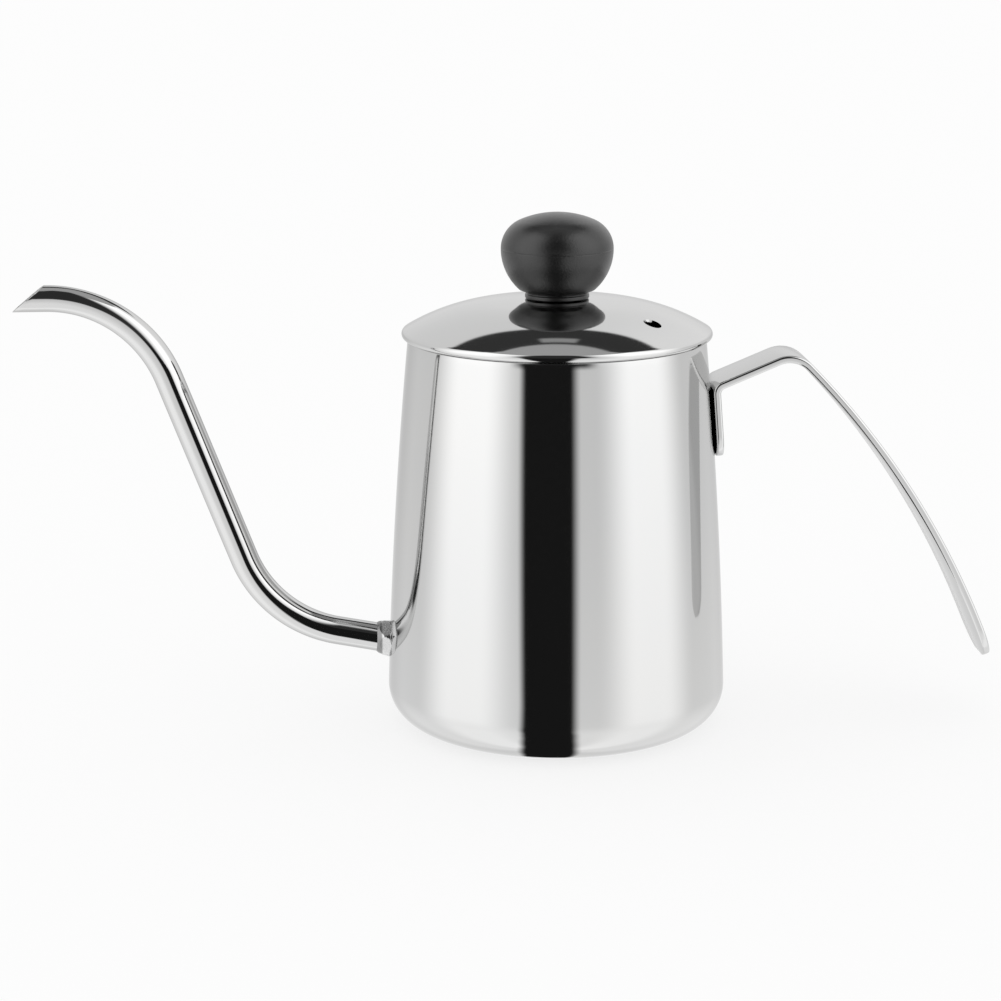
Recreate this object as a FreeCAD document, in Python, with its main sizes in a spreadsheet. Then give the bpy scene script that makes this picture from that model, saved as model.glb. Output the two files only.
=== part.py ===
import FreeCAD, Part
import math
import os
import Sketcher

# Gooseneck kettle: a drawn steel pot with a bent spout tube, a bent strip handle and a knobbed lid.
# Millimetres, +Z up. The origin is the centre of the foot; the spout points to -X, the handle to +X.

SIZES = {
    # The pot: a tapered, slightly bowed wall between a rounded base corner and a plain mouth.
    "base_radius": 45.0,
    "mouth_radius": 39.1,
    "body_height": 103.6,
    "corner_radius": 10.6,
    "wall_bow_radius": 1450.0,
    "wall_thickness": 0.8,
    # The middle of the base is pressed up, so that the pot stands on a flat ring inside the corner.
    "foot_width": 4.4,
    "recess_depth": 1.2,
    # The spout: a tube bent twice. Reaches are counted outwards from the base radius.
    "spout_diameter": 7.5,
    "spout_wall": 0.6,
    "spout_inset": 4.0,
    "spout_root_height": 22.0,
    "spout_low_reach": 31.4,
    "spout_low_height": 28.7,
    "spout_low_bend": 32.8,
    "spout_high_reach": 64.4,
    "spout_top_height": 115.1,
    "spout_high_bend": 33.2,
    "spout_lip_reach": 96.0,
    "spout_bevel_length": 8.3,
    # The weld round the spout's root.
    "weld_gap": 0.05,
    "bead_height": 1.0,
    "bead_length": 3.6,
    "bead_crest": 1.4,
    # The handle: a flat strip with a tab on the wall, a rising run, a peak and a long bowed grip.
    "strap_width": 22.0,
    "strap_thickness": 2.0,
    "strap_end_radius": 8.0,
    "strap_edge_radius": 0.5,
    "handle_gap": 0.3,
    "handle_corner_height": 91.4,
    "handle_tab_length": 19.5,
    "handle_weld_drop": 10.4,
    "handle_corner_bend": 2.5,
    "handle_rise_angle": 22.6,
    "handle_peak_reach": 15.4,
    "handle_peak_bend": 7.5,
    "grip_radius": 225.0,
    "grip_end_reach": 71.4,
    "grip_end_height": 15.8,
    "handle_weld_diameter": 4.0,
    "handle_weld_pitch": 6.0,
    # The lid: a flattened dome whose edge is rolled under and rests on the mouth.
    "lid_seat_gap": 0.2,
    "lid_overhang": 1.6,
    "lid_thickness": 0.6,
    "rim_roll_radius": 1.2,
    "hem_gap": 0.2,
    "dome_shoulder_radius": 53.7,
    "dome_crown_radius": 181.0,
    "dome_crown_reach": 18.0,
    "vent_diameter": 4.6,
    "vent_reach": 30.8,
    "vent_angle": 43.0,
    # The ring that centres the lid, with a flange that follows the dome's underside.
    "skirt_clearance": 0.6,
    "skirt_depth": 9.0,
    "skirt_thickness": 0.6,
    "skirt_bend": 1.6,
    "skirt_flange": 4.2,
    "skirt_gap": 0.3,
    "skirt_weld_width": 1.8,
    "skirt_weld_angle": 5.0,
    "skirt_weld_count": 6,
    # The knob: a ball on a short neck, one moulding.
    "knob_seat_gap": 0.05,
    "knob_height": 22.2,
    "knob_radius": 14.7,
    "knob_waist_height": 12.8,
    "knob_lower_radius": 14.2,
    "knob_shoulder_radius": 8.0,
    "knob_ball_height": 2.2,
    "knob_neck_radius": 8.0,
    "knob_neck_height": 1.4,
    "knob_foot_radius": 8.4,
    "knob_foot_height": 0.9,
    # The screw that holds the knob, with its insert and washers.
    "fit_gap": 0.05,
    "screw_diameter": 4.0,
    "screw_reach": 8.0,
    "screw_head_diameter": 8.0,
    "screw_head_height": 2.6,
    "screw_head_round": 1.2,
    "cross_width": 1.0,
    "cross_length": 4.4,
    "cross_depth": 1.6,
    "screw_hole_play": 0.2,
    "insert_diameter": 7.0,
    "insert_length": 10.0,
    "insert_groove_width": 1.2,
    "insert_groove_depth": 0.5,
    "washer_diameter": 9.0,
    "washer_thickness": 0.8,
    "spring_diameter": 7.4,
    "spring_thickness": 1.0,
    "spring_split_angle": 14.0,
}

WORKED_OUT = {
    # The wall is one arc through the top of the base corner and the mouth.
    "wall_run": "sizes.body_height - sizes.corner_radius",
    "wall_lean": "sizes.mouth_radius - sizes.base_radius",
    "wall_chord": "sqrt(wall_run^2 + wall_lean^2)",
    "wall_apothem": "sqrt(sizes.wall_bow_radius^2 - wall_chord^2 / 4)",
    "wall_centre_r": "(sizes.base_radius + sizes.mouth_radius) / 2 - wall_apothem * wall_run / wall_chord",
    "wall_centre_z": "(sizes.corner_radius + sizes.body_height) / 2 + wall_apothem * wall_lean / wall_chord",
    "corner_centre_r": "wall_centre_r + sqrt((sizes.wall_bow_radius - sizes.corner_radius)^2"
                       " - (sizes.corner_radius - wall_centre_z)^2)",
    "recess_radius": "corner_centre_r - sizes.foot_width",
    "step_mitre": "(sqrt(2) - 1) * sizes.wall_thickness",
    # The spout's root runs straight from inside the wall towards the low bend.
    "spout_radius": "sizes.spout_diameter / 2",
    "spout_bore_radius": "spout_radius - sizes.spout_wall",
    "spout_start_x": "-(sizes.base_radius - sizes.spout_inset)",
    "spout_low_x": "-(sizes.base_radius + sizes.spout_low_reach)",
    "spout_high_x": "-(sizes.base_radius + sizes.spout_high_reach)",
    "spout_lip_x": "-(sizes.base_radius + sizes.spout_lip_reach)",
    "spout_end_x": "spout_lip_x - sizes.spout_diameter",
    "spout_root_slope": "(sizes.spout_low_height - sizes.spout_root_height)"
                        " / (sizes.spout_low_reach + sizes.spout_inset)",
    "spout_hole_z": "sizes.spout_root_height + sizes.spout_inset * spout_root_slope",
    "bead_inner_radius": "spout_radius + sizes.weld_gap",
    "bead_outer_radius": "bead_inner_radius + sizes.bead_height",
    # The handle's tab lies along the wall's tangent at the height of its welds.
    "handle_weld_height": "sizes.handle_corner_height - sizes.handle_weld_drop",
    "handle_foot_height": "sizes.handle_corner_height - sizes.handle_tab_length",
    "tab_sine": "(handle_weld_height - wall_centre_z) / sizes.wall_bow_radius",
    "tab_cosine": "sqrt(1 - tab_sine^2)",
    "tab_distance": "sizes.wall_bow_radius + sizes.handle_gap + sizes.strap_thickness / 2",
    "tab_foot_x": "wall_centre_r + (tab_distance - (handle_foot_height - wall_centre_z) * tab_sine)"
                  " / tab_cosine",
    "tab_corner_x": "wall_centre_r + (tab_distance - (sizes.handle_corner_height - wall_centre_z) * tab_sine)"
                    " / tab_cosine",
    "tab_face_distance": "sizes.wall_bow_radius + sizes.handle_gap - sizes.weld_gap",
    "tab_face_x": "wall_centre_r + tab_face_distance * tab_cosine",
    "tab_face_z": "wall_centre_z + tab_face_distance * tab_sine",
    "handle_peak_x": "sizes.base_radius + sizes.handle_peak_reach",
    "grip_end_x": "sizes.base_radius + sizes.grip_end_reach",
    # The lid's three arcs are tangent: crown, shoulder and rolled rim.
    "rim_bottom_z": "sizes.body_height + sizes.lid_seat_gap",
    "rim_centre_z": "rim_bottom_z + sizes.rim_roll_radius",
    "rim_centre_r": "sizes.mouth_radius + sizes.lid_overhang - sizes.rim_roll_radius",
    "dome_step": "sizes.dome_crown_radius - sizes.dome_shoulder_radius",
    "crown_sine": "sizes.dome_crown_reach / sizes.dome_crown_radius",
    "shoulder_centre_r": "dome_step * crown_sine",
    "shoulder_centre_z": "rim_centre_z - sqrt((sizes.dome_shoulder_radius - sizes.rim_roll_radius)^2"
                         " - (rim_centre_r - shoulder_centre_r)^2)",
    "crown_centre_z": "shoulder_centre_z - dome_step * sqrt(1 - crown_sine^2)",
    "lid_top_z": "crown_centre_z + sizes.dome_crown_radius",
    "vent_x": "sizes.vent_reach * cos(sizes.vent_angle)",
    "vent_y": "-sizes.vent_reach * sin(sizes.vent_angle)",
    # The centring ring hangs inside the mouth, its flange a weld's thickness under the dome.
    "dome_under_radius": "sizes.dome_shoulder_radius - sizes.lid_thickness",
    "flange_radius": "dome_under_radius - sizes.skirt_gap",
    "skirt_radius": "sizes.mouth_radius - sizes.wall_thickness - sizes.skirt_clearance",
    "hem_end_r": "skirt_radius + sizes.hem_gap",
    "skirt_foot_z": "sizes.body_height - sizes.skirt_depth",
    "flange_end_r": "skirt_radius - sizes.skirt_flange",
    "skirt_weld_r": "(skirt_radius - sizes.skirt_bend + flange_end_r) / 2",
    "skirt_weld_in_r": "skirt_weld_r - sizes.skirt_weld_width / 2",
    "skirt_weld_out_r": "skirt_weld_r + sizes.skirt_weld_width / 2",
    "weld_top_radius": "dome_under_radius - sizes.weld_gap",
    "weld_foot_radius": "flange_radius + sizes.weld_gap",
    # The knob stands on the crown, and its screw comes up from below through two washers.
    "knob_base_z": "lid_top_z + sizes.knob_seat_gap",
    "knob_waist_z": "knob_base_z + sizes.knob_waist_height",
    "knob_top_z": "knob_base_z + sizes.knob_height",
    "knob_foot_z": "knob_base_z + sizes.knob_foot_height",
    "knob_neck_z": "knob_base_z + sizes.knob_neck_height",
    "knob_ball_z": "knob_base_z + sizes.knob_ball_height",
    "knob_lower_centre_r": "sizes.knob_radius - sizes.knob_lower_radius",
    "knob_shoulder_centre_r": "sizes.knob_radius - sizes.knob_shoulder_radius",
    "insert_radius": "sizes.insert_diameter / 2",
    "insert_groove_radius": "insert_radius - sizes.insert_groove_depth",
    "insert_top_z": "knob_base_z + sizes.insert_length",
    "insert_groove_foot_z": "knob_base_z + (sizes.insert_length - sizes.insert_groove_width) / 2",
    "insert_groove_top_z": "insert_groove_foot_z + sizes.insert_groove_width",
    "insert_hole_radius": "insert_radius + sizes.fit_gap",
    "insert_hole_z": "insert_top_z + sizes.fit_gap",
    "screw_radius": "sizes.screw_diameter / 2",
    "screw_bore_radius": "screw_radius + sizes.fit_gap",
    "screw_hole_radius": "screw_radius + sizes.screw_hole_play",
    "screw_tip_z": "knob_base_z + sizes.screw_reach",
    "crown_under_radius": "sizes.dome_crown_radius - sizes.lid_thickness",
    "washer_radius": "sizes.washer_diameter / 2",
    "washer_top_z": "crown_centre_z + sqrt(crown_under_radius^2 - washer_radius^2) - sizes.fit_gap",
    "washer_foot_z": "washer_top_z - sizes.washer_thickness",
    "spring_radius": "sizes.spring_diameter / 2",
    "spring_top_z": "washer_foot_z - sizes.fit_gap",
    "spring_foot_z": "spring_top_z - sizes.spring_thickness",
    "head_radius": "sizes.screw_head_diameter / 2",
    "head_top_z": "spring_foot_z - sizes.fit_gap",
    "head_foot_z": "head_top_z - sizes.screw_head_height",
    "cross_arm": "sizes.cross_length / 2",
    "cross_half": "sizes.cross_width / 2",
}

FULL_TURN = 360.0
AXIS = "0"
START, END, CENTRE = 1, 2, 3
TOLERANCE = 1e-4

doc = FreeCAD.newDocument("gooseneck_kettle")
sizes = doc.addObject("Spreadsheet::Sheet", "sizes")
worked = doc.addObject("Spreadsheet::Sheet", "worked")


def fill_sheet(sheet, cells):
    """Write one alias a row: a number as it is, a formula after an equals sign."""
    for row, (alias, value) in enumerate(cells.items(), start=1):
        sheet.set(f"A{row}", alias)
        sheet.set(f"B{row}", f"={value}" if isinstance(value, str) else str(value))
        sheet.setAlias(f"B{row}", alias)
    doc.recompute()


def number(formula):
    """The present value of a formula on the sheets."""
    return float(worked.evalExpression(formula))


def size(alias):
    return number(f"sizes.{alias}")


def place(alias):
    return number(f"worked.{alias}")


def toward(start, end, distance):
    """The point at a distance from start in the direction of end."""
    share = distance / math.dist(start, end)
    return tuple(a + (b - a) * share for a, b in zip(start, end))


def origin_feature(body, role):
    """A plane or axis of the body's own origin."""
    return next(feature for feature in body.Origin.OriginFeatures if feature.Role == role)


class Outline:
    """A sketch whose lines and arcs follow on from one another and are tied to the sheets."""

    def __init__(self, body, name, plane="XZ_Plane", across=None):
        self.sketch = body.newObject("Sketcher::SketchObject", name)
        self.pieces = []
        if across:
            self.sketch.AttachmentSupport = [(across, "Edge1")]
            self.sketch.MapMode = "NormalToEdge"
        else:
            self.sketch.AttachmentSupport = [(origin_feature(body, plane), "")]
            self.sketch.MapMode = "FlatFace"

    def shift(self, x=AXIS, y=AXIS, z=AXIS, angle=AXIS, about=(0, 0, 1)):
        """Move the sketch from its plane and turn it about an axis of its own, by formulas."""
        turned = FreeCAD.Rotation(FreeCAD.Vector(*about), number(angle))
        self.sketch.AttachmentOffset = FreeCAD.Placement(FreeCAD.Vector(), turned)
        for part, formula in (("Base.x", x), ("Base.y", y), ("Base.z", z), ("Rotation.Angle", angle)):
            if formula != AXIS:
                self.sketch.setExpression(f"AttachmentOffset.{part}", formula)

    def tie(self, *constraint, formula=None):
        """Add a constraint, driven by a formula where it has one."""
        index = self.sketch.addConstraint(Sketcher.Constraint(*constraint))
        if formula:
            self.sketch.setExpression(f"Constraints[{index}]", formula)

    def join(self, before, after, smooth=False):
        """Tie the end of one piece to the start of the next, with a corner or smoothly."""
        kind = "Tangent" if smooth else "Coincident"
        self.tie(kind, before[0], before[2], after[0], after[1])

    def add(self, curve, first, last, smooth):
        """Add a curve to the chain."""
        piece = (self.sketch.addGeometry(curve), first, last)
        if self.pieces:
            self.join(self.pieces[-1], piece, smooth)
        self.pieces.append(piece)
        return piece

    def close(self):
        """Join the last piece to the first."""
        self.join(self.pieces[-1], self.pieces[0])

    def line(self, start, end, smooth=False):
        """A straight piece between two points."""
        curve = Part.LineSegment(FreeCAD.Vector(*start, 0), FreeCAD.Vector(*end, 0))
        return self.add(curve, START, END, smooth)

    def arc(self, centre, start, end, left, smooth=False):
        """A round piece that turns left or right on its way from start to end."""
        low, high = (start, end) if left else (end, start)
        angles = [math.atan2(point[1] - centre[1], point[0] - centre[0]) for point in (low, high)]
        circle = Part.Circle(FreeCAD.Vector(*centre, 0), FreeCAD.Vector(0, 0, 1), math.dist(centre, start))
        first, last = (START, END) if left else (END, START)
        return self.add(Part.ArcOfCircle(circle, *angles), first, last, smooth)

    def pin(self, index, position, x=None, y=None):
        """Tie a point to the formulas of its coordinates."""
        for axis, formula, kind in ((-2, x, "DistanceX"), (-1, y, "DistanceY")):
            if formula == AXIS:
                self.tie("PointOnObject", index, position, axis)
            elif formula is not None and number(formula) >= 0:
                self.tie(kind, -1, 1, index, position, number(formula), formula=formula)
            elif formula is not None:
                self.tie(kind, index, position, -1, 1, -number(formula), formula=f"-({formula})")

    def first(self, piece, x=None, y=None):
        self.pin(piece[0], piece[1], x, y)

    def last(self, piece, x=None, y=None):
        self.pin(piece[0], piece[2], x, y)

    def centre(self, piece, x=None, y=None):
        self.pin(piece[0], CENTRE, x, y)

    def same_centre(self, piece, other):
        self.tie("Coincident", piece[0], CENTRE, other[0], CENTRE)

    def radius(self, piece, formula):
        self.tie("Radius", piece[0], number(formula), formula=formula)

    def level(self, piece):
        self.tie("Horizontal", piece[0])

    def upright(self, piece):
        self.tie("Vertical", piece[0])

    def corner(self, x, y):
        """A construction point at a corner that a bend rounds off."""
        index = self.sketch.addGeometry(Part.Point(FreeCAD.Vector(number(x), number(y), 0)), True)
        self.pin(index, START, x, y)
        return index

    def through(self, piece, corner):
        """Line a straight piece up with a corner point."""
        self.tie("PointOnObject", corner, START, piece[0])

    def circle(self, x, y, radius):
        """A whole circle, apart from the chain."""
        middle = FreeCAD.Vector(number(x), number(y), 0)
        index = self.sketch.addGeometry(Part.Circle(middle, FreeCAD.Vector(0, 0, 1), number(radius)))
        self.pin(index, CENTRE, x, y)
        self.tie("Radius", index, number(radius), formula=radius)

    def polygon(self, corners):
        """A closed chain of straight pieces through corners given by formulas."""
        points = [(number(x), number(y)) for x, y in corners]
        for corner, start, end in zip(corners, points, points[1:] + points[:1]):
            self.first(self.line(start, end), *corner)
        self.close()


def new_body(name):
    body = doc.addObject("PartDesign::Body", name)
    body.Label = name
    return body


def turn(body, outline, name, axis="V_Axis", kind="Revolution", angle=FULL_TURN):
    """Turn an outline about an axis of its own sketch, adding or cutting."""
    feature = body.newObject(f"PartDesign::{kind}", name)
    feature.Profile = outline.sketch
    feature.ReferenceAxis = (outline.sketch, [axis])
    feature.Angle = angle
    doc.recompute()
    return feature


def cut(body, outline, name, side="One side", reverse=False, depth=None):
    """Cut an outline to a depth, or right through where none is given."""
    feature = body.newObject("PartDesign::Pocket", name)
    feature.Profile = outline.sketch
    feature.SideType = side
    feature.Reversed = reverse
    if depth:
        feature.setExpression("Length", depth)
    else:
        feature.Type = "ThroughAll"
    doc.recompute()
    return feature


def sweep(body, section, path, name):
    """Carry a section along a whole path."""
    feature = body.newObject("PartDesign::AdditivePipe", name)
    feature.Profile = section.sketch
    feature.Spine = (path.sketch, [f"Edge{count}" for count in range(1, len(path.pieces) + 1)])
    doc.recompute()
    return feature


def fillet(body, base, edges, radius, name):
    """Round the edges of a feature that a test picks out."""
    feature = body.newObject("PartDesign::Fillet", name)
    names = [f"Edge{count}" for count, edge in enumerate(base.Shape.Edges, start=1) if edges(edge)]
    feature.Base = (base, names)
    feature.setExpression("Radius", radius)
    doc.recompute()
    return feature


def turned_piece(name, corners, angle=FULL_TURN):
    """A piece turned about the kettle's axis from a section with straight sides."""
    body = new_body(name)
    outline = Outline(body, f"{name}_section")
    outline.polygon(corners)
    return body, turn(body, outline, f"{name}_turned", angle=angle)


def round_corner(before, here, after, radius):
    """Where a bend of a radius leaves and meets the two runs at a corner: centre, entry, exit, left turn."""
    back, ahead = toward(here, before, 1.0), toward(here, after, 1.0)
    half = math.asin(math.dist(back, ahead) / 2)
    reach = radius / math.tan(half)
    middle = tuple((a + b) / 2 for a, b in zip(back, ahead))
    centre = toward(here, middle, radius / math.sin(half))
    left = (here[0] - back[0]) * (ahead[1] - here[1]) > (here[1] - back[1]) * (ahead[0] - here[0])
    return centre, toward(here, before, reach), toward(here, after, reach), left


def wall_arcs(outline, floor_start, grow):
    """The pot's outer floor line, base corner and wall, moved out by a gap; returns the two arcs."""
    bow, corner = size("wall_bow_radius"), size("corner_radius")
    wall_centre = (place("wall_centre_r") + number(grow), place("wall_centre_z"))
    corner_x = place("corner_centre_r") + number(grow)
    meeting = toward(wall_centre, (corner_x, corner), bow)
    mouth = (size("mouth_radius") + number(grow), size("body_height"))
    outline.level(outline.line(floor_start, (corner_x, 0)))
    corner_arc = outline.arc((corner_x, corner), (corner_x, 0), meeting, left=True, smooth=True)
    outline.radius(corner_arc, "sizes.corner_radius")
    wall_arc = outline.arc(wall_centre, meeting, mouth, left=True, smooth=True)
    outline.centre(wall_arc, f"worked.wall_centre_r + {grow}", "worked.wall_centre_z")
    outline.last(wall_arc, f"sizes.mouth_radius + {grow}", "sizes.body_height")
    return corner_arc, wall_arc


def cut_to_wall(body, name):
    """Cut away whatever lies inside the pot's outer face, with a weld's gap to it."""
    outline = Outline(body, f"{name}_outline")
    height = size("body_height")
    axis = outline.line((0, height), (0, 0))
    outline.first(axis, AXIS)
    outline.last(axis, AXIS, AXIS)
    wall_arcs(outline, (0, 0), "sizes.weld_gap")
    outline.level(outline.line((number("sizes.mouth_radius + sizes.weld_gap"), height), (0, height)))
    outline.close()
    return turn(body, outline, name, kind="Groove")


def make_body_shell():
    """One sheet drawn to a pot: the inner outline runs parallel to the outer one."""
    body = new_body("body_shell")
    outline = Outline(body, "pot_section")
    wall, depth = size("wall_thickness"), size("recess_depth")
    recess, height = place("recess_radius"), size("body_height")
    recess_roof = outline.line((0, depth), (recess - depth, depth))
    outline.first(recess_roof, AXIS, "sizes.recess_depth")
    outline.level(recess_roof)
    step = outline.line((recess - depth, depth), (recess, 0))
    outline.first(step, "worked.recess_radius - sizes.recess_depth")
    outline.last(step, "worked.recess_radius", AXIS)
    corner_arc, wall_arc = wall_arcs(outline, (recess, 0), "0")
    corner_centre = tuple(outline.sketch.Geometry[corner_arc[0]].Center)[:2]
    wall_centre = tuple(outline.sketch.Geometry[wall_arc[0]].Center)[:2]
    inner_bow = size("wall_bow_radius") - wall
    inner_mouth = (wall_centre[0] + math.sqrt(inner_bow ** 2 - (height - wall_centre[1]) ** 2), height)
    meeting = toward(wall_centre, corner_centre, inner_bow)
    outline.level(outline.line((size("mouth_radius"), height), inner_mouth))
    inner_wall = outline.arc(wall_centre, inner_mouth, meeting, left=False)
    outline.same_centre(inner_wall, wall_arc)
    floor_start = (corner_centre[0], wall)
    inner_corner = outline.arc(corner_centre, meeting, floor_start, left=False, smooth=True)
    outline.same_centre(inner_corner, corner_arc)
    floor_end = (recess + place("step_mitre"), wall)
    floor = outline.line(floor_start, floor_end, smooth=True)
    outline.level(floor)
    outline.last(floor, "worked.recess_radius + worked.step_mitre", "sizes.wall_thickness")
    rise_end = (floor_end[0] - depth, depth + wall)
    rise = outline.line(floor_end, rise_end)
    outline.last(rise, "worked.recess_radius - sizes.recess_depth + worked.step_mitre",
                 "sizes.recess_depth + sizes.wall_thickness")
    middle = outline.line(rise_end, (0, rise_end[1]))
    outline.level(middle)
    outline.last(middle, AXIS)
    outline.line((0, rise_end[1]), (0, depth))
    outline.close()
    turn(body, outline, "drawn_pot")
    hole = Outline(body, "spout_hole_outline", "YZ_Plane")
    hole.circle(AXIS, "worked.spout_hole_z", "worked.spout_bore_radius")
    cut(body, hole, "spout_hole")
    return body


def make_spout_tube():
    """A tube swept along straight runs and tangent bends, cut to the wall and bevelled at the lip."""
    body = new_body("spout_tube")
    path = Outline(body, "spout_path")
    corners = [
        ("worked.spout_start_x", "sizes.spout_root_height"),
        ("worked.spout_low_x", "sizes.spout_low_height"),
        ("worked.spout_high_x", "sizes.spout_top_height"),
        ("worked.spout_end_x", "sizes.spout_top_height"),
    ]
    start, low, high, end = [(number(x), number(y)) for x, y in corners]
    low_corner, high_corner = [path.corner(x, y) for x, y in corners[1:3]]
    low_bend = round_corner(start, low, high, size("spout_low_bend"))
    high_bend = round_corner(low, high, end, size("spout_high_bend"))
    root_run = path.line(start, low_bend[1])
    path.first(root_run, *corners[0])
    path.through(root_run, low_corner)
    path.radius(path.arc(*low_bend, smooth=True), "sizes.spout_low_bend")
    neck_run = path.line(low_bend[2], high_bend[1], smooth=True)
    path.through(neck_run, low_corner)
    path.through(neck_run, high_corner)
    path.radius(path.arc(*high_bend, smooth=True), "sizes.spout_high_bend")
    lip_run = path.line(high_bend[2], end, smooth=True)
    path.through(lip_run, high_corner)
    path.last(lip_run, *corners[3])
    section = Outline(body, "tube_section", across=path.sketch)
    section.circle(AXIS, AXIS, "worked.spout_radius")
    section.circle(AXIS, AXIS, "worked.spout_bore_radius")
    sweep(body, section, path, "bent_tube")
    cut_to_wall(body, "root_saddle")
    bevel = Outline(body, "lip_bevel_outline")
    top = "sizes.spout_top_height + worked.spout_radius"
    foot = "sizes.spout_top_height - worked.spout_radius"
    bevel.polygon([
        ("worked.spout_lip_x + 2 * sizes.spout_bevel_length", f"{top} + sizes.spout_diameter"),
        ("worked.spout_end_x - sizes.spout_diameter", f"{top} + sizes.spout_diameter"),
        ("worked.spout_end_x - sizes.spout_diameter", f"{foot} - sizes.spout_diameter"),
        ("worked.spout_lip_x - sizes.spout_bevel_length", f"{foot} - sizes.spout_diameter"),
    ])
    cut(body, bevel, "lip_bevel", side="Symmetric")
    return body


def make_spout_weld_bead():
    """A ring of weld: round on its outer side, cut to the wall on the other."""
    body = new_body("spout_weld_bead")
    outline = Outline(body, "bead_section")
    outline.shift("worked.spout_start_x", "sizes.spout_root_height",
                  angle="180 deg - atan(worked.spout_root_slope)")
    inner, outer = place("bead_inner_radius"), place("bead_outer_radius")
    hidden = size("spout_inset") / 2
    toe = (size("spout_inset") + size("bead_length"), inner)
    crest = (size("spout_inset") + size("bead_crest"), outer)
    swell = ((toe[0] - crest[0]) ** 2 + (outer - inner) ** 2) / (2 * (outer - inner))
    seat = outline.line((hidden, inner), toe)
    outline.first(seat, "sizes.spout_inset / 2", "worked.bead_inner_radius")
    outline.last(seat, "sizes.spout_inset + sizes.bead_length", "worked.bead_inner_radius")
    swelling = outline.arc((crest[0], outer - swell), toe, crest, left=True)
    outline.last(swelling, "sizes.spout_inset + sizes.bead_crest", "worked.bead_outer_radius")
    back = outline.line(crest, (hidden, outer), smooth=True)
    outline.level(back)
    outline.last(back, "sizes.spout_inset / 2")
    outline.line((hidden, outer), (hidden, inner))
    outline.close()
    turn(body, outline, "bead_ring", axis="H_Axis")
    cut_to_wall(body, "bead_saddle")
    return body


def make_handle_strap():
    """A flat strip swept along a tab, a rising run, a peak and a bowed grip, with rounded ends."""
    body = new_body("handle_strap")
    path = Outline(body, "strap_path")
    foot = (place("tab_foot_x"), place("handle_foot_height"))
    corner = (place("tab_corner_x"), size("handle_corner_height"))
    angle = math.radians(size("handle_rise_angle"))
    peak_bend, grip_bend = size("handle_peak_bend"), size("grip_radius")
    peak_run = place("handle_peak_x") - corner[0]
    ahead = (corner[0] + peak_run, corner[1] + peak_run * math.tan(angle))
    peak = (ahead[0], ahead[1] - peak_bend / math.cos(angle))
    peak_entry = (peak[0] - peak_bend * math.sin(angle), peak[1] + peak_bend * math.cos(angle))
    end = (place("grip_end_x"), size("grip_end_height"))
    span = math.dist(peak, end)
    along = (span ** 2 + (grip_bend - peak_bend) ** 2 - grip_bend ** 2) / (2 * span)
    aside = math.sqrt((grip_bend - peak_bend) ** 2 - along ** 2)
    level, drop = (end[0] - peak[0]) / span, (end[1] - peak[1]) / span
    grip = (peak[0] + along * level + aside * drop, peak[1] + along * drop - aside * level)
    tab_bend = round_corner(foot, corner, ahead, size("handle_corner_bend"))
    corner_mark = path.corner("worked.tab_corner_x", "sizes.handle_corner_height")
    tab = path.line(foot, tab_bend[1])
    path.first(tab, "worked.tab_foot_x", "worked.handle_foot_height")
    path.through(tab, corner_mark)
    path.radius(path.arc(*tab_bend, smooth=True), "sizes.handle_corner_bend")
    rise = path.line(tab_bend[2], peak_entry, smooth=True)
    path.through(rise, corner_mark)
    path.tie("Angle", rise[0], angle, formula="sizes.handle_rise_angle * 1 deg")
    peak_exit = toward(grip, peak, grip_bend)
    peak_arc = path.arc(peak, peak_entry, peak_exit, left=False, smooth=True)
    path.radius(peak_arc, "sizes.handle_peak_bend")
    path.centre(peak_arc, "worked.handle_peak_x")
    grip_arc = path.arc(grip, peak_exit, end, left=False, smooth=True)
    path.radius(grip_arc, "sizes.grip_radius")
    path.last(grip_arc, "worked.grip_end_x", "sizes.grip_end_height")
    section = Outline(body, "strip_section", across=path.sketch)
    half_width, half_thickness = "sizes.strap_width / 2", "sizes.strap_thickness / 2"
    section.polygon([
        (f"-{half_width}", f"-{half_thickness}"),
        (half_width, f"-{half_thickness}"),
        (half_width, half_thickness),
        (f"-{half_width}", half_thickness),
    ])
    strip = sweep(body, section, path, "bent_strip")

    def is_end_corner(edge):
        middle = edge.CenterOfMass
        near = min(math.dist((middle.x, middle.z), point) for point in (foot, end))
        return abs(edge.Length - size("strap_thickness")) < TOLERANCE and near < size("strap_thickness")

    ends = fillet(body, strip, is_end_corner, "sizes.strap_end_radius", "round_ends")

    def is_long_edge(edge):
        on_side = all(abs(abs(vertex.Y) - size("strap_width") / 2) < TOLERANCE for vertex in edge.Vertexes)
        return on_side and edge.Length > 2 * size("strap_thickness")

    fillet(body, ends, is_long_edge, "sizes.strap_edge_radius", "soft_edges")
    return body


def make_handle_spot_welds():
    """Three spots in a row up the tab, filling the gap between strip and wall."""
    body = new_body("handle_spot_welds")
    outline = Outline(body, "spot_outline", "YZ_Plane")
    outline.shift(y="worked.tab_face_z", z="worked.tab_face_x", angle="asin(worked.tab_sine)",
                  about=(-1, 0, 0))
    outline.circle(AXIS, AXIS, "sizes.handle_weld_diameter / 2")
    outline.circle(AXIS, "sizes.handle_weld_pitch", "sizes.handle_weld_diameter / 2")
    outline.circle(AXIS, "-sizes.handle_weld_pitch", "sizes.handle_weld_diameter / 2")
    spots = body.newObject("PartDesign::Pad", "spots")
    spots.Profile = outline.sketch
    spots.Reversed = True
    spots.setExpression("Length", "sizes.handle_gap + sizes.wall_thickness")
    doc.recompute()
    cut_to_wall(body, "spot_saddle")
    return body


def on_dome(radius, reach):
    """The point of a circle about the shoulder's centre that lies at a reach from the axis."""
    centre = (place("shoulder_centre_r"), place("shoulder_centre_z"))
    return reach, centre[1] + math.sqrt(radius ** 2 - (reach - centre[0]) ** 2)


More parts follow.
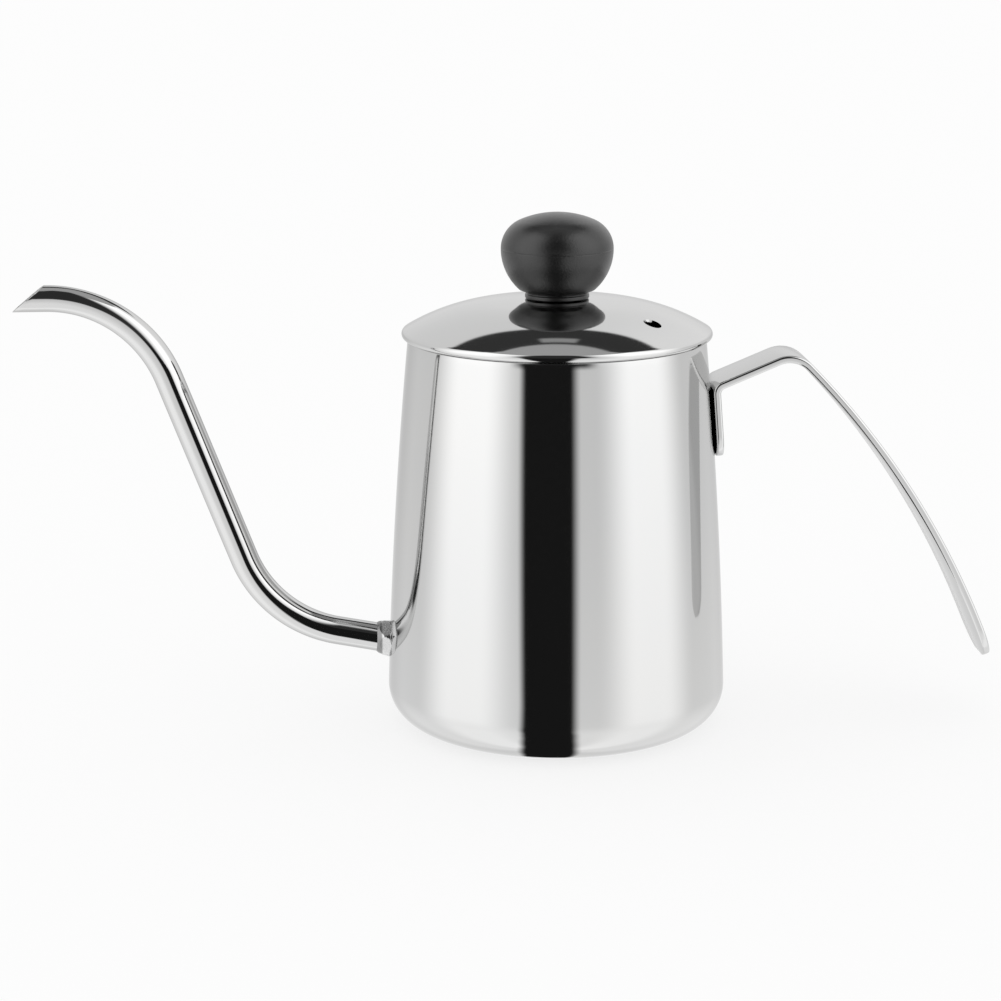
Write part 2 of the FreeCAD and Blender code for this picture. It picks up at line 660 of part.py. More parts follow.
def make_lid_dome():
    """A sheet pressed to a flattened dome; its edge rolls under into a flat hem that sits on the mouth."""
    body = new_body("lid_dome")
    outline = Outline(body, "dome_section")
    sheet, hole = size("lid_thickness"), place("screw_hole_radius")
    crown_radius, shoulder_radius = size("dome_crown_radius"), size("dome_shoulder_radius")
    roll = size("rim_roll_radius")
    crown = (0, place("crown_centre_z"))
    shoulder = (place("shoulder_centre_r"), place("shoulder_centre_z"))
    rim = (place("rim_centre_r"), place("rim_centre_z"))
    hem_end, rim_foot = place("hem_end_r"), place("rim_bottom_z")
    hole_top = (hole, crown[1] + math.sqrt(crown_radius ** 2 - hole ** 2))
    crown_edge = toward(crown, shoulder, crown_radius)
    shoulder_edge = toward(shoulder, rim, shoulder_radius)
    crown_arc = outline.arc(crown, hole_top, crown_edge, left=False)
    outline.centre(crown_arc, AXIS, "worked.crown_centre_z")
    outline.radius(crown_arc, "sizes.dome_crown_radius")
    outline.first(crown_arc, "worked.screw_hole_radius")
    shoulder_arc = outline.arc(shoulder, crown_edge, shoulder_edge, left=False, smooth=True)
    outline.centre(shoulder_arc, "worked.shoulder_centre_r", "worked.shoulder_centre_z")
    rim_arc = outline.arc(rim, shoulder_edge, (rim[0], rim_foot), left=False, smooth=True)
    outline.centre(rim_arc, "worked.rim_centre_r", "worked.rim_centre_z")
    hem = outline.line((rim[0], rim_foot), (hem_end, rim_foot), smooth=True)
    outline.level(hem)
    outline.last(hem, "worked.hem_end_r")
    edge = outline.line((hem_end, rim_foot), (hem_end, rim_foot + sheet))
    outline.upright(edge)
    outline.last(edge, None, "worked.rim_bottom_z + sizes.lid_thickness")
    hem_top = outline.line((hem_end, rim_foot + sheet), (rim[0], rim_foot + sheet))
    outline.level(hem_top)
    inner_shoulder_edge = toward(shoulder, rim, shoulder_radius - sheet)
    inner_crown_edge = toward(crown, shoulder, crown_radius - sheet)
    inner_rim = outline.arc(rim, (rim[0], rim[1] - roll + sheet), inner_shoulder_edge, left=True, smooth=True)
    outline.same_centre(inner_rim, rim_arc)
    inner_shoulder = outline.arc(shoulder, inner_shoulder_edge, inner_crown_edge, left=True, smooth=True)
    outline.same_centre(inner_shoulder, shoulder_arc)
    hole_foot = (hole, crown[1] + math.sqrt((crown_radius - sheet) ** 2 - hole ** 2))
    inner_crown = outline.arc(crown, inner_crown_edge, hole_foot, left=True, smooth=True)
    outline.same_centre(inner_crown, crown_arc)
    outline.upright(outline.line(hole_foot, hole_top))
    outline.close()
    turn(body, outline, "pressed_dome")
    vent = Outline(body, "vent_outline", "XY_Plane")
    vent.circle("worked.vent_x", "worked.vent_y", "sizes.vent_diameter / 2")
    cut(body, vent, "vent_hole", reverse=True)
    return body


def make_lid_skirt():
    """A ring that hangs in the mouth, bent over at the top into a flange that follows the dome."""
    body = new_body("lid_skirt")
    outline = Outline(body, "skirt_section")
    outer, foot, sheet = place("skirt_radius"), place("skirt_foot_z"), size("skirt_thickness")
    bend, flange = size("skirt_bend"), place("flange_radius")
    shoulder = (place("shoulder_centre_r"), place("shoulder_centre_z"))
    bend_r = outer - bend
    bend_centre = (bend_r, shoulder[1] + math.sqrt((flange - bend) ** 2 - (bend_r - shoulder[0]) ** 2))
    flange_start = toward(shoulder, bend_centre, flange)
    flange_end = on_dome(flange, place("flange_end_r"))
    wall = outline.line((outer, foot), (outer, bend_centre[1]))
    outline.first(wall, "worked.skirt_radius", "worked.skirt_foot_z")
    outline.upright(wall)
    bend_arc = outline.arc(bend_centre, (outer, bend_centre[1]), flange_start, left=True, smooth=True)
    outline.radius(bend_arc, "sizes.skirt_bend")
    flange_arc = outline.arc(shoulder, flange_start, flange_end, left=True, smooth=True)
    outline.centre(flange_arc, "worked.shoulder_centre_r", "worked.shoulder_centre_z")
    outline.radius(flange_arc, "worked.flange_radius")
    outline.last(flange_arc, "worked.flange_end_r")
    under_end = on_dome(flange - sheet, flange_end[0])
    under_start = toward(shoulder, bend_centre, flange - sheet)
    outline.upright(outline.line(flange_end, under_end))
    under_arc = outline.arc(shoulder, under_end, under_start, left=False)
    outline.same_centre(under_arc, flange_arc)
    wall_top = (outer - sheet, bend_centre[1])
    inner_bend = outline.arc(bend_centre, under_start, wall_top, left=False, smooth=True)
    outline.same_centre(inner_bend, bend_arc)
    inner_wall = outline.line(wall_top, (outer - sheet, foot), smooth=True)
    outline.upright(inner_wall)
    outline.last(inner_wall, "worked.skirt_radius - sizes.skirt_thickness", "worked.skirt_foot_z")
    outline.line((outer - sheet, foot), (outer, foot))
    outline.close()
    turn(body, outline, "rolled_skirt")
    return body


def make_lid_skirt_spot_welds():
    """Spots of weld between the flange and the dome, spaced evenly round the ring."""
    body = new_body("lid_skirt_spot_welds")
    outline = Outline(body, "spot_section")
    shoulder = (place("shoulder_centre_r"), place("shoulder_centre_z"))
    inner, outer = place("skirt_weld_in_r"), place("skirt_weld_out_r")
    top, foot = place("weld_top_radius"), place("weld_foot_radius")
    top_arc = outline.arc(shoulder, on_dome(top, inner), on_dome(top, outer), left=False)
    outline.centre(top_arc, "worked.shoulder_centre_r", "worked.shoulder_centre_z")
    outline.radius(top_arc, "worked.weld_top_radius")
    outline.first(top_arc, "worked.skirt_weld_in_r")
    outline.last(top_arc, "worked.skirt_weld_out_r")
    outline.upright(outline.line(on_dome(top, outer), on_dome(foot, outer)))
    foot_arc = outline.arc(shoulder, on_dome(foot, outer), on_dome(foot, inner), left=True)
    outline.same_centre(foot_arc, top_arc)
    outline.radius(foot_arc, "worked.weld_foot_radius")
    outline.upright(outline.line(on_dome(foot, inner), on_dome(top, inner)))
    outline.close()
    spot = turn(body, outline, "spot")
    spot.setExpression("Angle", "sizes.skirt_weld_angle")
    doc.recompute()
    ring = body.newObject("PartDesign::PolarPattern", "ring_of_spots")
    ring.Originals = [spot]
    ring.Axis = (origin_feature(body, "Z_Axis"), [""])
    ring.Angle = FULL_TURN
    ring.setExpression("Occurrences", "sizes.skirt_weld_count")
    body.Tip = ring
    doc.recompute()
    return body


def make_lid_knob():
    """A ball with a flattened crown on a short grooved neck, hollow below for its insert."""
    body = new_body("lid_knob")
    outline = Outline(body, "knob_section")
    base, waist, top = place("knob_base_z"), place("knob_waist_z"), place("knob_top_z")
    hole, hole_top = place("insert_hole_radius"), place("insert_hole_z")
    lower, shoulder = size("knob_lower_radius"), size("knob_shoulder_radius")
    lower_centre = (place("knob_lower_centre_r"), waist)
    shoulder_centre = (place("knob_shoulder_centre_r"), waist)
    ball_z = place("knob_ball_z")
    ball_start = (lower_centre[0] + math.sqrt(lower ** 2 - (waist - ball_z) ** 2), ball_z)
    rise = top - waist
    crown = (shoulder_centre[0] ** 2 + rise ** 2 - shoulder ** 2) / (2 * (rise - shoulder))
    crown_centre = (0, top - crown)
    crown_edge = toward(crown_centre, shoulder_centre, crown)
    neck_corners = [
        ("worked.insert_hole_radius", "worked.knob_base_z"),
        ("sizes.knob_foot_radius", "worked.knob_base_z"),
        ("sizes.knob_foot_radius", "worked.knob_foot_z"),
        ("sizes.knob_neck_radius", "worked.knob_neck_z"),
    ]
    neck_points = [(number(x), number(y)) for x, y in neck_corners]
    for corner, start, end in zip(neck_corners, neck_points, neck_points[1:] + [ball_start]):
        outline.first(outline.line(start, end), *corner)
    widest = (size("knob_radius"), waist)
    lower_arc = outline.arc(lower_centre, ball_start, widest, left=True)
    outline.first(lower_arc, None, "worked.knob_ball_z")
    outline.centre(lower_arc, "worked.knob_lower_centre_r", "worked.knob_waist_z")
    outline.last(lower_arc, "sizes.knob_radius", "worked.knob_waist_z")
    shoulder_arc = outline.arc(shoulder_centre, widest, crown_edge, left=True, smooth=True)
    outline.radius(shoulder_arc, "sizes.knob_shoulder_radius")
    crown_arc = outline.arc(crown_centre, crown_edge, (0, top), left=True, smooth=True)
    outline.centre(crown_arc, AXIS)
    outline.last(crown_arc, AXIS, "worked.knob_top_z")
    axis = outline.line((0, top), (0, hole_top))
    outline.last(axis, AXIS, "worked.insert_hole_z")
    roof = outline.line((0, hole_top), (hole, hole_top))
    outline.level(roof)
    outline.upright(outline.line((hole, hole_top), (hole, base)))
    outline.close()
    turn(body, outline, "moulded_knob")
    return body


def make_knob_insert():
    """A metal sleeve, grooved round the middle so that the moulding holds it."""
    bore, outer, groove = "worked.screw_bore_radius", "worked.insert_radius", "worked.insert_groove_radius"
    body, _ = turned_piece("knob_insert", [
        (bore, "worked.knob_base_z"),
        (outer, "worked.knob_base_z"),
        (outer, "worked.insert_groove_foot_z"),
        (groove, "worked.insert_groove_foot_z"),
        (groove, "worked.insert_groove_top_z"),
        (outer, "worked.insert_groove_top_z"),
        (outer, "worked.insert_top_z"),
        (bore, "worked.insert_top_z"),
    ])
    return body


def make_knob_screw():
    """A pan-head screw, head down, with a cross recess."""
    head, shank = "worked.head_radius", "worked.screw_radius"
    body, turned = turned_piece("knob_screw", [
        (AXIS, "worked.head_foot_z"),
        (head, "worked.head_foot_z"),
        (head, "worked.head_top_z"),
        (shank, "worked.head_top_z"),
        (shank, "worked.screw_tip_z"),
        (AXIS, "worked.screw_tip_z"),
    ])

    def is_head_edge(edge):
        low = abs(edge.CenterOfMass.z - place("head_foot_z")) < TOLERANCE
        return low and edge.Length > math.pi * place("head_radius")

    fillet(body, turned, is_head_edge, "sizes.screw_head_round", "pan_head")
    cross = Outline(body, "cross_outline", "XY_Plane")
    cross.shift(z="worked.head_foot_z")
    arm, half = "worked.cross_arm", "worked.cross_half"
    cross.polygon([
        (half, half), (half, arm), (f"-{half}", arm),
        (f"-{half}", half), (f"-{arm}", half), (f"-{arm}", f"-{half}"),
        (f"-{half}", f"-{half}"), (f"-{half}", f"-{arm}"), (half, f"-{arm}"),
        (half, f"-{half}"), (arm, f"-{half}"), (arm, half),
    ])
    cut(body, cross, "cross_recess", reverse=True, depth="sizes.cross_depth")
    return body


def make_washer(name, outer, top, foot, angle=FULL_TURN):
    """A flat ring round the screw; less than a full turn leaves it split."""
    hole = "worked.screw_bore_radius"
    body, turned = turned_piece(name, [(hole, foot), (outer, foot), (outer, top), (hole, top)])
    if angle != FULL_TURN:
        turned.setExpression("Angle", angle)
        doc.recompute()
    return body


fill_sheet(sizes, SIZES)
fill_sheet(worked, WORKED_OUT)
pieces = [
    make_body_shell(),
    make_spout_tube(),
    make_spout_weld_bead(),
    make_handle_strap(),
    make_handle_spot_welds(),
    make_lid_dome(),
    make_lid_skirt(),
    make_lid_skirt_spot_welds(),
    make_lid_knob(),
    make_knob_insert(),
    make_knob_screw(),
    make_washer("knob_flat_washer", "worked.washer_radius", "worked.washer_top_z", "worked.washer_foot_z"),
    make_washer("knob_spring_washer", "worked.spring_radius", "worked.spring_top_z", "worked.spring_foot_z",
                angle="360 - sizes.spring_split_angle"),
]
doc.recompute()

failed = [item.Name for item in doc.Objects if {"Invalid", "Error"} & set(item.State)]
failed += [piece.Label for piece in pieces if piece.Shape.isNull() or not piece.Shape.isValid()]
sketches = [item for item in doc.Objects if item.isDerivedFrom("Sketcher::SketchObject")]
loose = [sketch.Name for sketch in sketches if not sketch.FullyConstrained]
if failed or loose:
    raise RuntimeError(f"failed: {failed}, not fully tied: {loose}")

os.makedirs("parts", exist_ok=True)
for piece in pieces:
    piece.Shape.exportStep(f"parts/{piece.Label}.step")
    box = piece.Shape.BoundBox
    print(f"{piece.Label}: {len(piece.Shape.Solids)} solid(s), {piece.Shape.Volume:.1f} mm3,"
          f" x {box.XMin:.2f} to {box.XMax:.2f}, z {box.ZMin:.2f} to {box.ZMax:.2f}")
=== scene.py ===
# %% [markdown]
# # A pour-over kettle in polished steel
# This lesson dresses a finished construction model: a drawn steel pot, a thin bent spout, a bent
# strip for a handle and a loose lid with a black knob. The construction fixes every place and
# size. A mirror shows each facet of a coarse mesh, so the polished pieces are made again here as
# smooth meshes on the same outlines, and then get their finishes, a white studio and a camera.

# %% Load the construction model
import math

import bmesh
import bpy
from mathutils import Matrix, Vector


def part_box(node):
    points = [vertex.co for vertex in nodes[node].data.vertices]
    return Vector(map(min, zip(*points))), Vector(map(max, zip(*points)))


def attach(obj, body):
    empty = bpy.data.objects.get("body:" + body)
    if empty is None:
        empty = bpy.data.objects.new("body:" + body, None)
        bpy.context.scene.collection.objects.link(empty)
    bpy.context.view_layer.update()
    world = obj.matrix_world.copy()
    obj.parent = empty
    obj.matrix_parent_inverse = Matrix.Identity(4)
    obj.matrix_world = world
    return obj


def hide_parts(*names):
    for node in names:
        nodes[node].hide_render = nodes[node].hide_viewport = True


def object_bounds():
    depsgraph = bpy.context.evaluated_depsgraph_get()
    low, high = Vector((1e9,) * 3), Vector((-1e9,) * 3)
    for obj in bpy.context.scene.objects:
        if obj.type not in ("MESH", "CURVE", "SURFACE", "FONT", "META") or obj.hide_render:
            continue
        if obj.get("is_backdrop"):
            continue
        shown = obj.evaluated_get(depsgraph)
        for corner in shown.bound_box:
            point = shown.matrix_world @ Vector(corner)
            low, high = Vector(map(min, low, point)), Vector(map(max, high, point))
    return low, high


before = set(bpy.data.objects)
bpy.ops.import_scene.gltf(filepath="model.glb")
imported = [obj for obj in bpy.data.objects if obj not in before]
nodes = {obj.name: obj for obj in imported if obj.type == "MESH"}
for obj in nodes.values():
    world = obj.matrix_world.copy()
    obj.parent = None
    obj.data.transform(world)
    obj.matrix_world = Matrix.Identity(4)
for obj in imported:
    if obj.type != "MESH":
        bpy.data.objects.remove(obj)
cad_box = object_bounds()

MM = 0.001
print("nodes:", ", ".join(sorted(nodes)))
print("box in mm:", [tuple(round(value / MM, 1) for value in corner) for corner in cad_box])

# %% [markdown]
# ## Writing node trees as sums
# Materials and Geometry Nodes are both trees of nodes. Two small classes keep them readable: one
# adds any node from its type, its inputs and its settings, and one wraps a node's output so that
# plain Python sums add the Math nodes.

# %% An output in a sum, and a tree that adds nodes
class Value:
    """An output that can stand in a sum, and finds the other outputs of its node."""

    def __init__(self, graph, socket):
        self.graph = graph
        self.socket = socket

    def __getitem__(self, name):
        return Value(self.graph, self.socket.node.outputs[name])

    def math(self, operation, first, second=0.0):
        return self.graph.add("ShaderNodeMath", {0: first, 1: second}, operation=operation)

    def __add__(self, other):
        return self.math("ADD", self, other)

    def __sub__(self, other):
        return self.math("SUBTRACT", self, other)

    def __rsub__(self, other):
        return self.math("SUBTRACT", other, self)

    def __mul__(self, other):
        return self.math("MULTIPLY", self, other)

    def __truediv__(self, other):
        return self.math("DIVIDE", self, other)

    def __pow__(self, other):
        return self.math("POWER", self, other)

    def __lt__(self, other):
        return self.math("LESS_THAN", self, other)

    def __gt__(self, other):
        return self.math("GREATER_THAN", self, other)

    __radd__ = __add__
    __rmul__ = __mul__


class Graph:
    """A node tree that is filled one node at a time."""

    def __init__(self, tree):
        self.tree = tree

    def add(self, kind, inputs=None, **settings):
        """Add a node with its settings and inputs, and return its first output if it has one."""
        node = self.tree.nodes.new(kind)
        for name, value in settings.items():
            setattr(node, name, value)
        for name, value in (inputs or {}).items():
            if isinstance(value, Value):
                self.tree.links.new(value.socket, node.inputs[name])
            else:
                node.inputs[name].default_value = value
        return Value(self, node.outputs[0]) if node.outputs else None


def ramp(value, low, high):
    """A soft step from nought to one between two values."""
    ends = {"Value": value, "From Min": low, "From Max": high}
    return value.graph.add("ShaderNodeMapRange", ends, interpolation_type="SMOOTHSTEP")


def axes(vector):
    """The three parts of a vector."""
    parts = vector.graph.add("ShaderNodeSeparateXYZ", {"Vector": vector})
    return parts["X"], parts["Y"], parts["Z"]


# %% [markdown]
# ## The finishes
# Every finish reads Object coordinates, so its grain has a real size and stays put when the lid
# lifts. A material starts as an empty tree, and each finish closes it with a Principled shader. What
# changes over the surface feeds Base Color, Roughness, Metallic and a Bump on the Normal.

# %% Start a material
WHITE = (1.0, 1.0, 1.0, 1.0)


def grey(level):
    return (level, level, level, 1.0)


def empty_graph(owner):
    """The node tree of a material or a world, cleared."""
    owner.use_nodes = True
    owner.node_tree.nodes.clear()
    return Graph(owner.node_tree)


def new_material(name):
    """An empty material as a graph, with the place on the piece in metres."""
    material = bpy.data.materials.new(name)
    graph = empty_graph(material)
    return material, graph, graph.add("ShaderNodeTexCoord")["Object"]


def close_material(shader):
    shader.graph.add("ShaderNodeOutputMaterial", {"Surface": shader})


def principled(graph, inputs):
    """Close a material with a Principled shader."""
    close_material(graph.add("ShaderNodeBsdfPrincipled", inputs))


def mixed(factor, first, second):
    """A colour between two colours; the Mix node keeps its colour sockets at 6, 7 and 2."""
    sockets = {0: factor, 6: first, 7: second}
    return factor.graph.add("ShaderNodeMix", sockets, data_type="RGBA")[2]


def noise(vector, scale, detail=2.0):
    inputs = {"Vector": vector, "Scale": scale, "Detail": detail}
    return vector.graph.add("ShaderNodeTexNoise", inputs)


def bump(height, strength, distance):
    """A small relief on the surface, its depth in metres."""
    inputs = {"Height": height, "Strength": strength, "Distance": distance}
    return height.graph.add("ShaderNodeBump", inputs)


# %% [markdown]
# ### Polished steel
# The pot is buffed to a mirror on a turning wheel, the strip along its length. What is left of
# that are lines far finer than a hair, so they only vary the gloss: they follow the way of the
# wheel, and a broad soft cloud on top stands for uneven buffing. The colour stays a neutral grey,
# because a mirror's look comes from what it reflects, and a tint darkens the steel a little where
# it is seen at a flat angle. The pot's inside isn't buffed: a value on its points, set in a later
# step, makes it duller there.

# %% Polished steel in three directions
STEEL_COOL = (0.55, 0.555, 0.56, 1.0)
STEEL_WARM = (0.58, 0.575, 0.565, 1.0)
LINES_PER_METRE = 9000.0
CLOUDS_PER_METRE = 22.0
ALONG_TURN = (0.02, 0.03)
ALONG_STRIP = 0.02
ALONG_TUBE = 0.5
MIRROR_ROUGHNESS = 0.03
ROUGHNESS_SPREAD = 0.03
LINE_RELIEF = (0.04, 0.00001)
INSIDE_SATIN = 0.32
INSIDE_DULL = 0.5


def polishing_lines(place, way):
    """A vector that changes fast across the polishing lines and slowly along them."""
    x, y, z = axes(place)
    if way == "round":
        across = (x * x + y * y) ** 0.5 + z
        along = x * ALONG_TURN[0] + y * ALONG_TURN[1]
    elif way == "strip":
        across = y
        along = (x + z) * ALONG_STRIP
    else:
        across = x - z
        along = y * ALONG_TUBE
    return place.graph.add("ShaderNodeCombineXYZ", {"X": across, "Y": along})


def polished_steel(name, way, rim_tint):
    """Mirror steel whose gloss varies along the lines of the buffing wheel."""
    material, graph, place = new_material(name)
    lines = noise(polishing_lines(place, way), LINES_PER_METRE)
    clouds = noise(place, CLOUDS_PER_METRE, 3.0)
    colour = mixed(clouds, STEEL_COOL, STEEL_WARM)
    roughness = MIRROR_ROUGHNESS + (lines + clouds) * ROUGHNESS_SPREAD
    metal = 1.0
    if way == "round":
        inside = graph.add("ShaderNodeAttribute", attribute_name="inside")["Fac"]
        roughness = roughness + inside * INSIDE_SATIN
        metal = 1 - inside * INSIDE_DULL
    principled(graph, {"Base Color": colour, "Metallic": metal, "Roughness": roughness,
                       "Specular Tint": grey(rim_tint), "Normal": bump(lines, *LINE_RELIEF)})
    return material


steel_turned = polished_steel("polished_steel_turned", "round", rim_tint=0.92)
steel_strip = polished_steel("polished_steel_strip", "strip", rim_tint=0.88)
steel_tube = polished_steel("polished_steel_tube", "tube", rim_tint=0.75)
print("steel finishes:", steel_turned.name, steel_strip.name, steel_tube.name)

# %% [markdown]
# ### Ground weld, fastener steel and brass
# The bead at the spout's root was dressed by hand, and its crest is ground bright. Its toe on the
# tube gets a darker colour, which is painted shade. Screw and washers are plain satin steel, and the
# insert in the knob is brass. One function makes all of them, and the weld's painted shade fades
# from toe to crest along X.

# %% Satin metals
# Where the painted shade on the weld's toe fades out, along X in metres.
TOE_TO_CREST = (-0.0470, -0.0464)
SCRATCH_STRETCH = (1.0, 0.15, 0.4)
SCRATCH_DULL = 0.18
PATCH_SHARE = 0.12
PATCH_RELIEF = 0.5
SATIN_BUMP = 0.5


def satin_metal(name, light, dark, roughness, grain, relief_depth, painted_toe_shade=None):
    """A metal with fine scratches and patches of uneven tone, and on the weld a painted shade at the
    toe.
    """
    material, graph, place = new_material(name)
    stretched = graph.add("ShaderNodeMapping", {"Vector": place, "Scale": SCRATCH_STRETCH})
    scratches = noise(stretched, grain, 4.0)
    patches = noise(place, grain * PATCH_SHARE)
    colour = mixed(patches, dark, light)
    # Painted shade: the weld's toe, where it meets the tube, is coloured darker.
    if painted_toe_shade:
        along = axes(place)[0]
        colour = mixed(ramp(along, *TOE_TO_CREST), painted_toe_shade, colour)
    gloss = roughness + scratches * SCRATCH_DULL
    relief = bump(scratches + patches * PATCH_RELIEF, SATIN_BUMP, relief_depth)
    principled(graph, {"Base Color": colour, "Metallic": 1.0, "Roughness": gloss, "Normal": relief})
    return material


# The weld gets painted shade at its toe: a dark grey in place of its own colour.
weld_steel = satin_metal("ground_weld", grey(0.7), grey(0.52), roughness=0.16, grain=2600.0,
                         relief_depth=0.00006, painted_toe_shade=grey(0.22))
fastener_steel = satin_metal("satin_fastener", grey(0.62), grey(0.5), roughness=0.25, grain=3000.0,
                             relief_depth=0.00003)
brass = satin_metal("turned_brass", (0.78, 0.6, 0.28, 1.0), (0.66, 0.48, 0.2, 1.0), roughness=0.25,
                    grain=2500.0, relief_depth=0.00003)
print("satin metals:", weld_steel.name, fastener_steel.name, brass.name)

# %% [markdown]
# ### Moulded black plastic
# The knob is a heat-proof plastic with a fine spark-eroded grain from its mould. The grain is a
# noise of a few tenths of a millimetre that dents the surface a little; it breaks the highlight up
# into a soft sheen. A second, wider noise keeps the black from looking painted.

# %% Black plastic
GRAIN_PER_METRE = 2600.0
WEAR_PER_METRE = 160.0
BLACKS = (0.004, 0.009)
PLASTIC_ROUGHNESS = 0.24
PLASTIC_SPREAD = 0.06
PLASTIC_SHEEN = 0.62
GRAIN_RELIEF = (0.6, 0.00009)


def moulded_plastic(name):
    material, graph, place = new_material(name)
    grain = noise(place, GRAIN_PER_METRE)
    wear = noise(place, WEAR_PER_METRE, 3.0)
    colour = mixed(wear, grey(BLACKS[0]), grey(BLACKS[1]))
    roughness = PLASTIC_ROUGHNESS + (wear + grain) * PLASTIC_SPREAD
    relief = bump(grain, *GRAIN_RELIEF)
    principled(graph, {"Base Color": colour, "Roughness": roughness,
                       "Specular IOR Level": PLASTIC_SHEEN, "Normal": relief})
    return material


black_plastic = moulded_plastic("moulded_black_plastic")
print("plastic:", black_plastic.name)

# %% [markdown]
# ## Outlines from arcs
# A turned piece is known by its outline: how far each point lies from the axis, and how high. The
# outlines are drawn in millimetres as straight runs and arcs, the way a drawing gives them. No
# pressed or moulded edge is perfectly sharp, so a last step eases every corner with a small round.

# %% Arcs and eased corners
def arc(centre, radius, start, stop, steps):
    """Points of an arc between two angles in radians."""
    angles = [start + (stop - start) * step / steps for step in range(steps + 1)]
    return [(centre[0] + radius * math.cos(a), centre[1] + radius * math.sin(a)) for a in angles]


def angle_of(centre, point):
    return math.atan2(point[1] - centre[1], point[0] - centre[0])


EASED_TURN = math.radians(25.0)
EASE_REACH = 0.45
SAME_PLACE = 1e-5


def eased(points, radius, closed=False, steps=4):
    """Replace each sharp corner with a small round that fits between its neighbours."""
    result = []
    count = len(points)
    for index, here in enumerate(points):
        if not closed and index in (0, count - 1):
            result.append(here)
            continue
        here = Vector(here)
        before = Vector(points[index - 1]) - here
        after = Vector(points[(index + 1) % count]) - here
        turn = math.pi - before.angle(after)
        if turn < EASED_TURN:
            result.append(tuple(here))
            continue
        reach = min(radius * math.tan(turn / 2), EASE_REACH * min(before.length, after.length))
        start, stop = here + before.normalized() * reach, here + after.normalized() * reach
        for step in range(steps + 1):
            share = step / steps
            result.append(tuple(start.lerp(here, share).lerp(here.lerp(stop, share), share)))
    return result


def without_repeats(points):
    """Drop a point that lies on the one before it."""
    kept = points[:1]
    for point in points[1:]:
        if math.dist(point, kept[-1]) > SAME_PLACE:
            kept.append(point)
    return kept


# %% [markdown]
# ## Turning an outline with Geometry Nodes
# Pot, lid, ring and knob are all turned: one outline, carried once round the axis. In Geometry
# Nodes that is Curve to Mesh with a circle as the path and the outline as the section. One tree
# serves all of them, with inputs for the steps round and the material. It ends in a plain mesh,
# which keeps the piece independent of the tree.

# %% The turning tree
GUIDE_RADIUS = 1.0 * MM
MERGE_DISTANCE = 0.5e-6


def new_tree(name, **inputs):
    """An empty geometry tree with named inputs after its geometry."""
    tree = bpy.data.node_groups.new(name, "GeometryNodeTree")
    for label, kind in {"Geometry": "Geometry", **inputs}.items():
        tree.interface.new_socket(label, in_out="INPUT", socket_type="NodeSocket" + kind)
    tree.interface.new_socket("Geometry", in_out="OUTPUT", socket_type="NodeSocketGeometry")
    graph = Graph(tree)
    return tree, graph, graph.add("NodeGroupInput")


def close_tree(graph, mesh, material):
    """Realize, merge the seam, shade smooth and give the material."""
    endings = {"RealizeInstances": {}, "MergeByDistance": {"Distance": MERGE_DISTANCE},
               "SetShadeSmooth": {}, "SetMaterial": {"Material": material}}
    for kind, inputs in endings.items():
        mesh = graph.add("GeometryNode" + kind, {"Geometry": mesh, **inputs})
    graph.add("NodeGroupOutput", {"Geometry": mesh})


def make_turning_tree():
    tree, graph, given = new_tree("turned_piece", Steps="Int", Material="Material")
    section = graph.add("GeometryNodeMeshToCurve", {"Mesh": given["Geometry"]})
    circle = {"Resolution": given["Steps"], "Radius": GUIDE_RADIUS}
    path = graph.add("GeometryNodeCurvePrimitiveCircle", circle)
    upright = graph.add("GeometryNodeSetCurveNormal", {"Curve": path}, mode="Z_UP")
    sweep = {"Curve": upright, "Profile Curve": section}
    close_tree(graph, graph.add("GeometryNodeCurveToMesh", sweep), given["Material"])
    return tree


turning_tree = make_turning_tree()
print("tree:", turning_tree.name, "with", len(turning_tree.nodes), "nodes")

# %% Run a tree and keep a plain mesh
def link(name, data):
    piece = bpy.data.objects.new(name, data)
    bpy.context.scene.collection.objects.link(piece)
    return piece


def wire(points, closed):
    """A chain of edges through points."""
    mesh = bpy.data.meshes.new("wire")
    edges = [(index, index + 1) for index in range(len(points) - 1)]
    if closed:
        edges.append((len(points) - 1, 0))
    mesh.from_pydata(points, edges, [])
    return mesh


def evaluated(piece):
    """The result of a piece's modifiers as a plain mesh."""
    graph = bpy.context.evaluated_depsgraph_get()
    return bpy.data.meshes.new_from_object(piece.evaluated_get(graph))


def run_tree(name, tree, start, inputs):
    """Evaluate a tree on a mesh, each input set by the identifier behind its label."""
    carrier = link(name + "_outline", start)
    modifier = carrier.modifiers.new("tree", "NODES")
    modifier.node_group = tree
    for item in tree.interface.items_tree:
        if item.in_out == "INPUT" and item.name in inputs:
            modifier[item.identifier] = inputs[item.name]
    mesh = evaluated(carrier)
    bpy.data.objects.remove(carrier)
    return mesh


# %% Turn an outline and settle the mesh
SHARP_EDGE = math.radians(40.0)


def smoothed(mesh):
    """Shade a mesh smooth, but not across the edges that stay sharp."""
    mesh.polygons.foreach_set("use_smooth", [True] * len(mesh.polygons))
    mesh.set_sharp_from_angle(angle=SHARP_EDGE)


def settle(name, mesh):
    """Point every face outwards, shade the mesh and link it as a piece."""
    shape = bmesh.new()
    shape.from_mesh(mesh)
    bmesh.ops.recalc_face_normals(shape, faces=shape.faces)
    if shape.calc_volume(signed=True) < 0:
        bmesh.ops.reverse_faces(shape, faces=shape.faces)
    shape.to_mesh(mesh)
    heights = [point.co.z / MM for point in shape.verts]
    print(f"{name}: {len(shape.faces)} faces, {shape.calc_volume() / MM ** 3:.1f} mm3,"
          f" z {min(heights):.2f} to {max(heights):.2f}")
    shape.free()
    smoothed(mesh)
    return link(name, mesh)


def turned(name, outline, material, steps=192, closed=False):
    """Turn an outline in millimetres about the kettle's axis."""
    points = [(radius * MM - GUIDE_RADIUS, -height * MM, 0.0)
              for radius, height in without_repeats(outline)]
    inputs = {"Steps": steps, "Material": material}
    return settle(name, run_tree(name, turning_tree, wire(points, closed), inputs))


